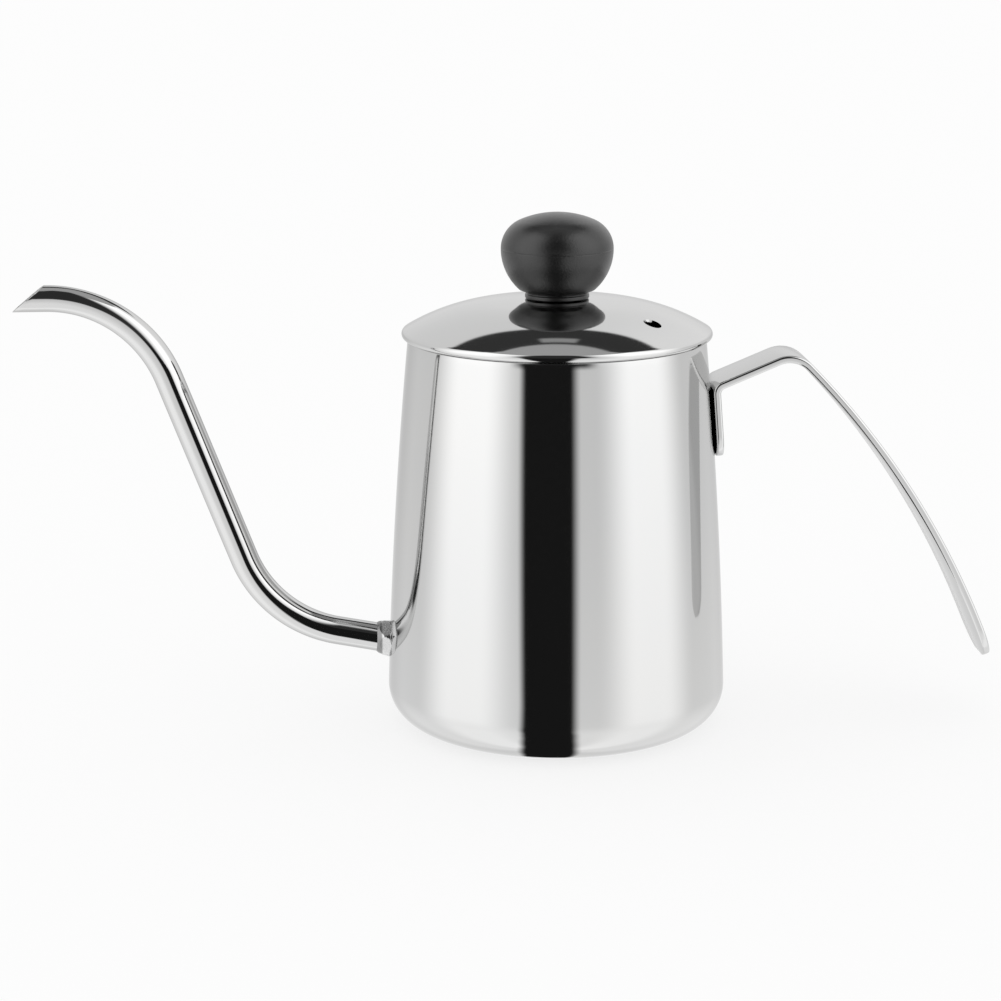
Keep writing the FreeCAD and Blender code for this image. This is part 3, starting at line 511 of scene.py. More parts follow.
# %% [markdown]
# ## The pot
# A pot like this is drawn from one steel disc: the wall leans in and bows out a little, the base
# corner is a wide round, and the middle of the base is pressed up so that it stands on a ring. The
# inner outline runs parallel to the outer one at the sheet's thickness. The base radius and height
# come from the construction model.

# %% Work out the wall's arcs
BASE_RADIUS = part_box("body_shell")[1].x / MM
POT_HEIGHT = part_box("body_shell")[1].z / MM
MOUTH_RADIUS = 39.1
CORNER_RADIUS = 10.6
WALL_BOW = 1450.0
SHEET = 0.8
RECESS_RADIUS = 30.0
RECESS_DEPTH = 1.2
POT_EASE = 0.3

wall_run = POT_HEIGHT - CORNER_RADIUS
wall_lean = MOUTH_RADIUS - BASE_RADIUS
wall_chord = math.hypot(wall_run, wall_lean)
wall_apothem = math.sqrt(WALL_BOW ** 2 - wall_chord ** 2 / 4)
wall_centre = (
    (BASE_RADIUS + MOUTH_RADIUS) / 2 - wall_apothem * wall_run / wall_chord,
    (CORNER_RADIUS + POT_HEIGHT) / 2 + wall_apothem * wall_lean / wall_chord,
)


def wall_radius(height, inset=0.0):
    """How far the outer face of the wall lies from the axis at a height, less an inset."""
    return wall_centre[0] + math.sqrt((WALL_BOW - inset) ** 2 - (height - wall_centre[1]) ** 2)


corner_centre = (wall_radius(CORNER_RADIUS, CORNER_RADIUS), CORNER_RADIUS)
print(f"wall radius at the mouth {wall_radius(POT_HEIGHT):.2f} mm,"
      f" half way up {wall_radius(POT_HEIGHT / 2):.2f} mm")

# %% Turn the pot
SQUARE_DOWN = -math.pi / 2
CORNER_STEPS = 28
WALL_STEPS = 48


def pot_outline():
    """Underside, outer wall, mouth, inner wall and floor."""
    meeting = angle_of(wall_centre, corner_centre)
    mouth = angle_of(wall_centre, (MOUTH_RADIUS, POT_HEIGHT))
    inner_mouth = angle_of(wall_centre, (wall_radius(POT_HEIGHT, SHEET), POT_HEIGHT))
    flat = RECESS_RADIUS - RECESS_DEPTH
    slant = (math.sqrt(2.0) - 1.0) * SHEET
    points = [(0.0, RECESS_DEPTH), (flat, RECESS_DEPTH), (RECESS_RADIUS, 0.0)]
    points += arc(corner_centre, CORNER_RADIUS, SQUARE_DOWN, meeting, CORNER_STEPS)
    points += arc(wall_centre, WALL_BOW, meeting, mouth, WALL_STEPS)
    points += arc(wall_centre, WALL_BOW - SHEET, inner_mouth, meeting, WALL_STEPS)
    points += arc(corner_centre, CORNER_RADIUS - SHEET, meeting, SQUARE_DOWN, CORNER_STEPS)
    points += [(RECESS_RADIUS + slant, SHEET), (flat + slant, RECESS_DEPTH + SHEET)]
    points += [(0.0, RECESS_DEPTH + SHEET)]
    return eased(without_repeats(points), POT_EASE)


pot = turned("polished_pot", pot_outline(), steel_turned, steps=256)

# %% [markdown]
# ## The spout's line
# The spout is a thin tube bent twice: out of the pot almost level, up the neck, and level again to
# the lip. The line is drawn through four corners, and each inner corner is rounded by the radius
# of the bending tool, so that straight runs and bends stay tangent, as a real bent tube's do.

# %% Corners to runs and bends
SPOUT_RADIUS = 3.75
SPOUT_TAPER = 0.08
TAPER_RUN = (-97.0, -125.0)
SPOUT_WALL = 0.6
SPOUT_BEVEL = 8.3
SPOUT_CORNERS = [(-41.0, 22.0), (-76.4, 28.7), (-109.4, 115.5), (-141.0, 115.5)]
SPOUT_BENDS = [32.8, 33.2]


def bend(before, here, after, radius, steps):
    """Points of the bend that rounds a corner between two runs."""
    here = Vector(here)
    back, ahead = (Vector(before) - here).normalized(), (Vector(after) - here).normalized()
    half = back.angle(ahead) / 2
    centre = here + (back + ahead).normalized() * (radius / math.sin(half))
    reach = radius / math.tan(half)
    start = angle_of(centre, here + back * reach)
    sweep = math.pi - 2 * half
    left = back.x * ahead.y - back.y * ahead.x < 0
    return arc(centre, radius, start, start + (sweep if left else -sweep), steps)


def spaced(start, stop, gap):
    """Points along a straight run, about a gap apart, without its two ends."""
    steps = max(1, round(math.dist(start, stop) / gap))
    return [tuple(Vector(start).lerp(Vector(stop), step / steps)) for step in range(1, steps)]


def rounded_line(corners, bends, gap=2.0):
    """A line of straight runs and tangent bends through corners."""
    points = [corners[0]]
    for index, radius in enumerate(bends, start=1):
        curve = bend(corners[index - 1], corners[index], corners[index + 1], radius, steps=40)
        points += spaced(points[-1], curve[0], gap) + curve
    return points + spaced(points[-1], corners[-1], gap) + [corners[-1]]


spout_line = rounded_line(SPOUT_CORNERS, SPOUT_BENDS)
first_bend_x = bend(*SPOUT_CORNERS[:3], SPOUT_BENDS[0], steps=1)[0][0]
last_bend_x = bend(*SPOUT_CORNERS[1:], SPOUT_BENDS[1], steps=1)[1][0]
print(f"spout line: {len(spout_line)} points,"
      f" bends start at x {first_bend_x:.1f} and end at {last_bend_x:.1f} mm")

# %% [markdown]
# ## Sweeping the tube
# Curve to Mesh carries a circle along the line, once for the outer face and once for the bore, and
# its Scale draws the tube a little thinner through the upper bend, where it was stretched. The two
# ends aren't square: the lip is sawn at a slant and the root is cut to the pot's round wall. The
# tree shears the last straight run at each end, so that its last ring lies on that cut, and the
# open ends of the two skins are bridged afterwards.

# %% The cuts at lip and root
ROOT_SINK = 0.35
ROOT_X = ROOT_SINK - wall_radius(SPOUT_CORNERS[0][1])
LIP_RADIUS = SPOUT_RADIUS * (1 - SPOUT_TAPER)


def stretched_run(x, start, stop, aim):
    """A shift along X that carries the end of a run to its aim and leaves its start alone."""
    return (x - start) * ((aim - start) / (stop - start) - 1.0)


def lip_shift(x, z):
    """Carry the last run to a slanting cut."""
    end, foot = SPOUT_CORNERS[3][0] * MM, (SPOUT_CORNERS[3][1] - LIP_RADIUS) * MM
    aim = end + (z - foot) * (SPOUT_BEVEL / (2 * LIP_RADIUS))
    return stretched_run(x, last_bend_x * MM, end, aim) * (x < last_bend_x * MM)


def root_shift(x, y, z):
    """Carry the first run to the pot's round and leaning wall."""
    height = SPOUT_CORNERS[0][1]
    lean = (wall_radius(height + 1.0) - wall_radius(height - 1.0)) / 2
    aim = ROOT_X * MM - (z - height * MM) * lean + y * y * (0.5 / (BASE_RADIUS * MM))
    return stretched_run(x, first_bend_x * MM, ROOT_X * MM, aim) * (x > first_bend_x * MM)


# %% The sweeping tree
TUBE_SIDES = 64


def make_tube_tree():
    tree, graph, given = new_tree("bent_tube", Radius="Float", Material="Material")
    path = graph.add("GeometryNodeMeshToCurve", {"Mesh": given["Geometry"]})
    circle = {"Resolution": TUBE_SIDES, "Radius": given["Radius"]}
    section = graph.add("GeometryNodeCurvePrimitiveCircle", circle)
    x, y, z = axes(graph.add("GeometryNodeInputPosition"))
    thinner = 1 - ramp(x * (-1.0 / MM), -TAPER_RUN[0], -TAPER_RUN[1]) * SPOUT_TAPER
    sweep = {"Curve": path, "Profile Curve": section, "Scale": thinner}
    skin = graph.add("GeometryNodeCurveToMesh", sweep)
    offset = graph.add("ShaderNodeCombineXYZ", {"X": lip_shift(x, z) + root_shift(x, y, z)})
    cut = graph.add("GeometryNodeSetPosition", {"Geometry": skin, "Offset": offset})
    close_tree(graph, cut, given["Material"])
    return tree


tube_tree = make_tube_tree()
print("tree:", tube_tree.name, "with", len(tube_tree.nodes), "nodes")

# %% Two skins, bridged at the ends
ROOT_CLEAR = -46.0
LIP_EASE = 0.18


def spout_skin(radius):
    """One skin of the tube, from where its line meets the wall to the lip."""
    start = Vector(SPOUT_CORNERS[0])
    along = Vector(SPOUT_CORNERS[1]) - start
    root = tuple(start + along * ((ROOT_X - start.x) / along.x))
    points = [root] + [point for point in spout_line if point[0] < ROOT_CLEAR]
    path = wire([(x * MM, 0.0, z * MM) for x, z in points], closed=False)
    return run_tree("spout", tube_tree, path, {"Radius": radius * MM, "Material": steel_tube})


def mesh_of(name, shape):
    """Turn a bmesh into a mesh and let it go."""
    mesh = bpy.data.meshes.new(name)
    shape.to_mesh(mesh)
    shape.free()
    return mesh


def make_spout():
    """Join the outer skin and the bore, and close the root and the lip between them."""
    shape = bmesh.new()
    for radius in (SPOUT_RADIUS, SPOUT_RADIUS - SPOUT_WALL):
        shape.from_mesh(spout_skin(radius))
    middle = (first_bend_x + last_bend_x) / 2 * MM
    for is_root in (True, False):
        rims = [edge for edge in shape.edges
                if edge.is_boundary and (edge.verts[0].co.x > middle) == is_root]
        bmesh.ops.bridge_loops(shape, edges=rims)
        if not is_root:
            bmesh.ops.bevel(shape, geom=rims, offset=LIP_EASE * MM, segments=3, profile=0.5,
                            affect="EDGES")
    mesh = mesh_of("bent_spout", shape)
    mesh.materials.append(steel_tube)
    return settle("bent_spout", mesh)


spout = make_spout()

# %% [markdown]
# ## The weld at the root
# A ring of weld joins tube and wall. It was dressed by hand: a cone rises from the tube, a crest
# runs round, and a grinder left flats across it. A flat is a plane beside the tube that leans down
# a little towards the toe, so the bead's radius is the smaller of its own section and that plane.
# Every ring of points starts from the pot's wall, which leaves no gap at the saddle.

# %% Section and flats of the bead
BEAD_SECTION = [(0.0, 0.7), (0.7, 1.3), (2.1, 1.3), (4.0, 0.02)]
BEAD_FLATS = 6
FLAT_HEIGHT = 0.75
FLAT_LEAN = 0.18
FLAT_MIDDLE = 1.4
FIRST_FLAT = math.radians(169.0)
BEAD_RIPPLE = 0.04
RIPPLE_WAVES = 4
RIPPLE_START = 0.6


def bead_radius(station, turn):
    """The bead's radius at a distance from the wall and an angle round the tube."""
    height = 0.0
    for (start, low), (stop, high) in zip(BEAD_SECTION, BEAD_SECTION[1:]):
        if start <= station <= stop:
            height = low + (high - low) * (station - start) / (stop - start)
    ripple = BEAD_RIPPLE * math.sin(RIPPLE_WAVES * turn + RIPPLE_START) * min(1.0, height)
    half_flat = math.pi / BEAD_FLATS
    from_flat = (turn - FIRST_FLAT + half_flat) % (2 * half_flat) - half_flat
    plane = SPOUT_RADIUS + FLAT_HEIGHT + FLAT_LEAN * (FLAT_MIDDLE - station)
    return min(SPOUT_RADIUS + height + ripple, plane / math.cos(from_flat))


# %% Carry the bead about the tube
BEAD_TURNS = 120
BEAD_ROWS = 40


def mesh_from(name, points, faces, material):
    mesh = bpy.data.meshes.new(name)
    mesh.from_pydata(points, [], faces)
    mesh.materials.append(material)
    return mesh


def skinned(name, rings, material):
    """A closed mesh through rings of points, each with as many points as the next."""
    count = len(rings[0])
    points = [tuple(value * MM for value in point) for ring in rings for point in ring]
    faces = []
    for row in range(0, len(points) - count, count):
        for index in range(count):
            step = (index + 1) % count
            faces.append((row + index, row + step, row + count + step, row + count + index))
    faces += [tuple(range(count)), tuple(range(len(points) - count, len(points)))]
    return settle(name, mesh_from(name, points, faces, material))


def make_bead():
    """Rings of points about the root's axis, from inside the wall to the toe on the tube."""
    start, after = [Vector((x, 0.0, z)) for x, z in SPOUT_CORNERS[:2]]
    along = (after - start).normalized()
    side = Vector((0.0, 1.0, 0.0))
    up = along.cross(side)
    rings = []
    for row in range(BEAD_ROWS + 1):
        station = BEAD_SECTION[-1][0] * row / BEAD_ROWS
        ring = []
        for step in range(BEAD_TURNS):
            turn = 2 * math.pi * step / BEAD_TURNS
            out = side * math.cos(turn) + up * math.sin(turn)
            point = start + out * bead_radius(station, turn)
            depth = math.sqrt((wall_radius(point.z) - ROOT_SINK) ** 2 - point.y ** 2)
            reach = (-depth - point.x) / along.x
            ring.append(tuple(point + along * (reach + station)))
        rings.append(ring)
    return skinned("ground_weld_bead", rings, weld_steel)


bead = make_bead()

# %% [markdown]
# ## The handle
# The handle is one flat strip with rounded ends: a tab on the wall, a short rise, a tight peak and
# a long bowed grip, open at the bottom. The strip is narrow at the tab and widens down the grip.
# It is made as a row of cross-sections along its line. Each one is a rectangle with eased edges,
# and near an end it narrows to follow the round of the strip's corner.

# %% The strip's line
TAB_WIDTH = 16.8
GRIP_WIDTH = 22.0
WIDENING = (58.0, 88.0)
STRIP_THICKNESS = 2.0
TAB_END_RADIUS = 6.0
GRIP_END_RADIUS = 9.5
STRIP_EDGE_RADIUS = 0.65
STRIP_GAP = 1.0
TAB_WELD_HEIGHT = 81.0
TAB_FOOT = 71.9
TAB_CORNER = 91.0
TAB_BEND = 2.5
RISE_ANGLE = math.radians(22.6)
PEAK_X = 60.4
PEAK_BEND = 7.5
GRIP_RADIUS = 225.0
GRIP_END = (116.4, 15.8)


def tab_x(height):
    """The tab's middle line: parallel to the wall's tangent at the welds."""
    lean = math.asin((TAB_WELD_HEIGHT - wall_centre[1]) / WALL_BOW)
    distance = WALL_BOW + STRIP_THICKNESS / 2
    return wall_centre[0] + (distance - (height - wall_centre[1]) * math.sin(lean)) / math.cos(lean)


def strip_line():
    """Tab, bend, rise, peak and grip as one line of points."""
    foot, corner = (tab_x(TAB_FOOT), TAB_FOOT), (tab_x(TAB_CORNER), TAB_CORNER)
    rise = PEAK_X - corner[0]
    ahead = (PEAK_X, corner[1] + rise * math.tan(RISE_ANGLE))
    peak = Vector((PEAK_X, ahead[1] - PEAK_BEND / math.cos(RISE_ANGLE)))
    span = Vector(GRIP_END) - peak
    reach = GRIP_RADIUS - PEAK_BEND
    along = (span.length_squared + reach ** 2 - GRIP_RADIUS ** 2) / (2 * span.length)
    aside = math.sqrt(reach ** 2 - along ** 2)
    level = span.normalized()
    grip = peak + level * along + Vector((level.y, -level.x)) * aside
    first = bend(foot, corner, ahead, TAB_BEND, steps=12)
    turn_out = angle_of(grip, peak)
    second = arc(peak, PEAK_BEND, math.pi / 2 + RISE_ANGLE, turn_out, steps=24)
    third = arc(grip, GRIP_RADIUS, turn_out, angle_of(grip, GRIP_END), steps=90)
    points = [foot] + spaced(foot, first[0], STRIP_GAP) + first
    points += spaced(first[-1], second[0], STRIP_GAP) + second + third
    return without_repeats(points)


handle_line = strip_line()
print(f"strip line: {len(handle_line)} points, peak at z {max(z for _, z in handle_line):.1f} mm")

# %% Sections along the strip
END_STEPS = 14
EDGE_SHARES = (0.0, 0.1, 0.3, 0.6, 1.0)
NEARLY = 1e-9
SHORT_OF_END = 1e-6


def near_ends(line):
    """The line with points packed towards both ends, where the strip's corners round off."""
    lengths = [0.0]
    for here, after in zip(line, line[1:]):
        lengths.append(lengths[-1] + math.dist(here, after))
    total = lengths[-1]
    edge = [STRIP_EDGE_RADIUS * share for share in EDGE_SHARES]
    turns = [math.pi / 2 * step / END_STEPS for step in range(END_STEPS + 1)]
    ends = []
    for radius in (TAB_END_RADIUS, GRIP_END_RADIUS):
        ends.append(sorted(set([radius * (1 - math.cos(turn)) for turn in turns] + edge)))
    first, last = ends
    stations = first + [place for place in lengths if first[-1] < place < total - last[-1]]
    stations += [total - place for place in reversed(last)]
    return stations, lengths


def point_at(line, lengths, place):
    """Point and direction at a length along the line."""
    index = max(i for i in range(len(lengths) - 1) if lengths[i] <= place + NEARLY)
    start, stop = Vector(line[index]), Vector(line[index + 1])
    share = (place - lengths[index]) / (lengths[index + 1] - lengths[index])
    return start.lerp(stop, share), (stop - start).normalized()


def section(half_width, half_thickness):
    """A rectangle with rounded corners, as distances across the strip and out of its face."""
    radius = min(STRIP_EDGE_RADIUS, half_thickness)
    points = []
    for turn, (sign_w, sign_t) in enumerate(((1, 1), (-1, 1), (-1, -1), (1, -1))):
        centre = (sign_w * (half_width - radius), sign_t * (half_thickness - radius))
        points += arc(centre, radius, turn * math.pi / 2, (turn + 1) * math.pi / 2, 4)
    return points


def rounding(place, radius):
    """How much of a radius is left at a distance from the end that it rounds off."""
    rest = max(0.0, radius - place)
    return radius - math.sqrt(radius ** 2 - rest ** 2)


def strip_half_width(x):
    """Half of the strip's width: even along tab and rise, wider down the grip."""
    share = min(1.0, max(0.0, (x - WIDENING[0]) / (WIDENING[1] - WIDENING[0])))
    return (TAB_WIDTH + (GRIP_WIDTH - TAB_WIDTH) * share * share * (3 - 2 * share)) / 2


def make_handle():
    stations, lengths = near_ends(handle_line)
    rings = []
    for place in stations:
        point, along = point_at(handle_line, lengths, min(place, lengths[-1] - SHORT_OF_END))
        rest = lengths[-1] - place
        corner = max(rounding(place, TAB_END_RADIUS), rounding(rest, GRIP_END_RADIUS))
        half_width = strip_half_width(point.x) - corner
        half_thickness = STRIP_THICKNESS / 2 - rounding(min(place, rest), STRIP_EDGE_RADIUS)
        out = Vector((along.y, -along.x))
        rings.append([(point.x + out.x * high, across, point.y + out.y * high)
                      for across, high in section(half_width, half_thickness)])
    return skinned("bent_strip_handle", rings, steel_strip)


handle = make_handle()

# %% [markdown]
# ## The lid
# The lid is pressed from thin sheet: a flat crown, a rounder shoulder and an edge rolled under
# into a hem that rests on the mouth. Crown, shoulder and roll are three arcs that pass into each
# other without a kink. A ring welded below centres the lid in the mouth. Both are turned with the
# same tree.

# %% Turn the dome
SEAT_GAP = 0.2
OVERHANG = 1.6
LID_SHEET = 0.6
ROLL_RADIUS = 1.2
SHOULDER_RADIUS = 53.7
CROWN_RADIUS = 181.0
CROWN_REACH = 18.0
SKIRT_RADIUS = MOUTH_RADIUS - 1.4
HEM_END = SKIRT_RADIUS + 0.2
SCREW_HOLE = 2.2
SHEET_EASE = 0.12

rim_foot = POT_HEIGHT + SEAT_GAP
rim_centre = (MOUTH_RADIUS + OVERHANG - ROLL_RADIUS, rim_foot + ROLL_RADIUS)
shoulder_r = (CROWN_RADIUS - SHOULDER_RADIUS) * CROWN_REACH / CROWN_RADIUS
shoulder_drop = math.sqrt((SHOULDER_RADIUS - ROLL_RADIUS) ** 2 - (rim_centre[0] - shoulder_r) ** 2)
shoulder_centre = (shoulder_r, rim_centre[1] - shoulder_drop)
crown_drop = math.sqrt((CROWN_RADIUS - SHOULDER_RADIUS) ** 2 - shoulder_r ** 2)
crown_centre = (0.0, shoulder_centre[1] - crown_drop)
lid_top = crown_centre[1] + CROWN_RADIUS


def round_sheet(side, gauge):
    """Once round a sheet: along its one side and back along the other."""
    points = side(0.0) + side(-gauge)[::-1]
    return eased(without_repeats(points), SHEET_EASE, closed=True)


def dome_side(change):
    """One side of the sheet, from the screw's hole over the top and round the hem."""
    crown = CROWN_RADIUS + change
    crown_edge = angle_of(crown_centre, shoulder_centre)
    shoulder_edge = angle_of(shoulder_centre, rim_centre)
    side = arc(crown_centre, crown, math.acos(SCREW_HOLE / crown), crown_edge, steps=16)
    side += arc(shoulder_centre, SHOULDER_RADIUS + change, crown_edge, shoulder_edge, steps=40)
    side += arc(rim_centre, ROLL_RADIUS + change, shoulder_edge, SQUARE_DOWN, steps=20)
    return side + [(HEM_END, rim_centre[1] - ROLL_RADIUS - change)]


lid = turned("pressed_lid", round_sheet(dome_side, LID_SHEET), steel_turned, steps=256, closed=True)
print(f"top of the lid at z {lid_top:.2f} mm")

# %% Turn the centring ring
SKIRT_DEPTH = 9.0
SKIRT_SHEET = 0.6
SKIRT_BEND = 1.6
SKIRT_FLANGE = 4.2
FLANGE_GAP = 0.3


def skirt_side(change):
    """One side of an upright wall that is bent over into a flange under the dome."""
    flange = SHOULDER_RADIUS - LID_SHEET - FLANGE_GAP
    bend_r = SKIRT_RADIUS - SKIRT_BEND
    rise = math.sqrt((flange - SKIRT_BEND) ** 2 - (bend_r - shoulder_r) ** 2)
    bend_centre = (bend_r, shoulder_centre[1] + rise)
    edge = angle_of(shoulder_centre, bend_centre)
    inner = math.acos((SKIRT_RADIUS - SKIRT_FLANGE - shoulder_r) / (flange + change))
    side = [(SKIRT_RADIUS + change, POT_HEIGHT - SKIRT_DEPTH)]
    side += arc(bend_centre, SKIRT_BEND + change, 0.0, edge, steps=12)
    return side + arc(shoulder_centre, flange + change, edge, inner, steps=12)


skirt = turned("centring_ring", round_sheet(skirt_side, SKIRT_SHEET), steel_turned, closed=True)

# %% [markdown]
# ### Two holes
# The lid has a vent near its edge, and the pot's wall has a hole behind the spout. Both are cut
# with a Boolean after turning, as a punch would, because a turned mesh is the same all round.

# %% Punch the vent and the spout's hole
VENT_RADIUS = 2.3
VENT_PLACE = (22.5, -21.0, lid_top - 4.0)
VENT_STROKE = 12.0
SPOUT_HOLE = (-BASE_RADIUS, 0.0, SPOUT_CORNERS[0][1] + 0.75)
SPOUT_STROKE = 6.0


def punch(piece, place, along, radius, stroke):
    """Cut a round hole through a piece, its middle at a place in millimetres."""
    shape = bmesh.new()
    turned_to = Vector(along).to_track_quat("Z", "Y").to_matrix().to_4x4()
    matrix = Matrix.Translation(Vector(place) * MM) @ turned_to
    bmesh.ops.create_cone(shape, cap_ends=True, segments=64, radius1=radius * MM,
                          radius2=radius * MM, depth=stroke * MM, matrix=matrix)
    tool = link("punch", mesh_of("punch", shape))
    boolean = piece.modifiers.new("hole", "BOOLEAN")
    boolean.object = tool
    boolean.solver = "EXACT"
    cut = evaluated(piece)
    piece.modifiers.clear()
    piece.data = cut
    bpy.data.objects.remove(tool)
    smoothed(cut)
    print(f"{piece.name}: hole of {2 * radius:.1f} mm, now {len(cut.polygons)} faces")


punch(lid, VENT_PLACE, (0, 0, 1), VENT_RADIUS, VENT_STROKE)
punch(pot, SPOUT_HOLE, (1, 0, 0), SPOUT_RADIUS - SPOUT_WALL, SPOUT_STROKE)

# %% [markdown]
# ## The inside of the pot
# Only the outside is buffed. The inside keeps the satin of the drawn sheet, and it shows when the
# lid is off. Both sides are one mesh with one material, so a value on each point says which side
# it lies on, and the steel's gloss reads that value.

# %% Mark the inside
WALL_LOOKS_UP = -0.3
FLOOR_LOOKS_UP = 0.5


def mark_inside(piece):
    """Store one on each point of the inner wall and the floor, and nought elsewhere."""
    marks = []
    for point in piece.data.vertices:
        place, normal = point.co, point.normal
        outwards = place.x * normal.x + place.y * normal.y
        on_wall = normal.z > WALL_LOOKS_UP and outwards < 0
        on_floor = normal.z > FLOOR_LOOKS_UP and place.z < CORNER_RADIUS * MM
        marks.append(float(on_wall or on_floor))
    piece.data.attributes.new("inside", "FLOAT", "POINT").data.foreach_set("value", marks)
    print(f"{piece.name}: {sum(marks):.0f} of {len(marks)} points lie inside")


mark_inside(pot)

# %% [markdown]
# ## The knob
# The knob is one moulding: a ball with a flattened crown on a short neck, with a groove above its
# foot ring. The two halves of its mould leave a thin parting line where the ball is widest, drawn
# here as a shallow nick in the outline so that it catches the light as a real one does.

# %% Turn the knob
KNOB_HEIGHT = 22.2
KNOB_RADIUS = 14.7
KNOB_WAIST = 12.8
KNOB_LOWER = 14.2
KNOB_SHOULDER = 8.0
KNOB_BALL_FOOT = 2.2
NECK_RADIUS = 8.0
NECK_HEIGHT = 1.4
FOOT_RADIUS = 8.4
FOOT_HEIGHT = 0.9
INSERT_RADIUS = 3.55
INSERT_DEPTH = 10.05
PARTING_WIDTH = 0.16
PARTING_DEPTH = 0.05
KNOB_GAP = 0.05
KNOB_EASE = 0.3
FOOT_POINTS = 5
knob_base = lid_top + KNOB_GAP


def knob_outline():
    """From the insert's hole round the eased foot and neck and the ball to the crown."""
    waist, top = knob_base + KNOB_WAIST, knob_base + KNOB_HEIGHT
    lower = (KNOB_RADIUS - KNOB_LOWER, waist)
    shoulder = (KNOB_RADIUS - KNOB_SHOULDER, waist)
    rise = top - waist
    crown = (shoulder[0] ** 2 + rise ** 2 - KNOB_SHOULDER ** 2) / (2 * (rise - KNOB_SHOULDER))
    middle = (0.0, top - crown)
    start = -math.asin((KNOB_WAIST - KNOB_BALL_FOOT) / KNOB_LOWER)
    nick = PARTING_WIDTH / 2
    turn = angle_of(middle, shoulder)
    points = [(INSERT_RADIUS, knob_base), (FOOT_RADIUS, knob_base)]
    points += [(FOOT_RADIUS, knob_base + FOOT_HEIGHT), (NECK_RADIUS, knob_base + NECK_HEIGHT)]
    points += arc(lower, KNOB_LOWER, start, -nick / KNOB_LOWER, steps=40)
    points += [(KNOB_RADIUS - PARTING_DEPTH, waist)]
    points += arc(shoulder, KNOB_SHOULDER, nick / KNOB_SHOULDER, turn, steps=28)
    points += arc(middle, crown, turn, math.pi / 2, steps=24)
    points += [(radius, knob_base + INSERT_DEPTH) for radius in (0.0, INSERT_RADIUS)]
    points = without_repeats(points)
    return eased(points[:FOOT_POINTS], KNOB_EASE) + points[FOOT_POINTS:] + [points[0]]


knob = turned("moulded_knob", knob_outline(), black_plastic, steps=128)

# %% [markdown]
# ## Seating the pieces
# Each smooth piece replaces its construction node and rides on the same body, so the lid's pieces
# lift with the lid. The small fasteners and the spot welds keep their construction meshes and only
# get a finish.

# %% Ride and replace
PIECES = [
    (pot, "kettle", "body_shell", "polished_steel"),
    (spout, "kettle", "spout_tube", "polished_steel"),
    (bead, "kettle", "spout_weld_bead", "weld_steel"),
    (handle, "kettle", "handle_strap", "polished_steel"),
    (lid, "lid", "lid_dome", "polished_steel"),
    (skirt, "lid", "lid_skirt", "polished_steel"),
    (knob, "lid", "lid_knob", "black_plastic"),
]
for piece, body, node, slot in PIECES:
    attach(piece, body)
    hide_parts(node)

KEPT_NODES = {
    "handle_spot_welds": weld_steel,
    "lid_skirt_spot_welds": weld_steel,
    "knob_insert": brass,
    "knob_screw": fastener_steel,
    "knob_flat_washer": fastener_steel,
    "knob_spring_washer": fastener_steel,
}
for node, material in KEPT_NODES.items():
    for place in nodes[node].material_slots:
        place.material = material
print(len(PIECES), "pieces replaced,", len(KEPT_NODES), "construction nodes kept")

# %% [markdown]
# ## The studio
# A mirror is only as good as the room it reflects. The kettle stands on white paper in a white
# room, and the paper keeps its shadow. A light tent round both is seen only in reflections, where
# it also stands for the paper: two soft boxes beside the camera, a dark side above the camera, and
# a dark strip overhead for the lid. A black card close in front of the pot draws the band down its
# middle; it is near, so the spout hardly sees it.

# %% World and paper
ROOM_FILL = 1.0
world = bpy.data.worlds.new("white_room")
bpy.context.scene.world = world
room = empty_graph(world)
room_light = room.add("ShaderNodeBackground", {"Color": WHITE, "Strength": ROOM_FILL})
room.add("ShaderNodeOutputWorld", {"Surface": room_light})

PAPER = 6.0
PAPER_GREY = 0.92
PAPER_GLOW = 0.75


def glow(graph, strength):
    """White light that a surface sends out."""
    return graph.add("ShaderNodeEmission", {"Color": WHITE, "Strength": strength})


def blended(share, first, second):
    """Two shaders as one, by the share of the second."""
    return share.graph.add("ShaderNodeMixShader", {0: share, 1: first, 2: second})


def paper_material():
    """White paper that shows the shadow, lifted towards white where it is seen or mirrored."""
    material, graph, _ = new_material("white_paper")
    paint = graph.add("ShaderNodeBsdfDiffuse", {"Color": grey(PAPER_GREY)})
    path = graph.add("ShaderNodeLightPath")
    seen = path["Is Camera Ray"] + path["Is Glossy Ray"] + path["Is Transmission Ray"]
    close_material(blended((seen > 0.5) * PAPER_GLOW, paint, glow(graph, 1.0)))
    return material


corners = [(-PAPER, -PAPER, 0), (PAPER, -PAPER, 0), (PAPER, PAPER, 0), (-PAPER, PAPER, 0)]
paper = link("paper", mesh_from("paper", corners, [(0, 1, 2, 3)], paper_material()))
paper.visible_glossy = False
paper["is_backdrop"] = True
print("paper of", 2 * PAPER, "m")

# %% The tent's sides
# Levels are shares of white. Turns and heights are in degrees: where each starts and stops, and for
# three numbers how soft both edges are.
TENT_PLAIN = 0.93
PAPER_LIFT = 0.27
PAPER_HEIGHT = (-40.0, 0.0)
BACK_LIFT = 0.06
BACK_HEIGHT = (3.0, 18.0)
RIGHT_LIFT = 0.17
RIGHT_TURN = (-5.0, 40.0)
FAR_SHADE = 0.19
FAR_TURN = (-35.0, 35.0, 15.0)
FAR_HEIGHT = (-2.0, 8.0)
LEFT_BOX = (-97.0, -43.0, 16.0)
RIGHT_BOX = (37.0, 88.0, 15.0)
RIGHT_BOX_SHARE = 0.93
BOX_FOOT = 0.2
BOX_RISE = 0.6
BOX_HEIGHT = (-36.0, 6.0)


def between(value, start, stop, soft):
    """One between two values, with soft edges."""
    rise = ramp(value, start - soft, start + soft)
    return rise * (1 - ramp(value, stop - soft, stop + soft))


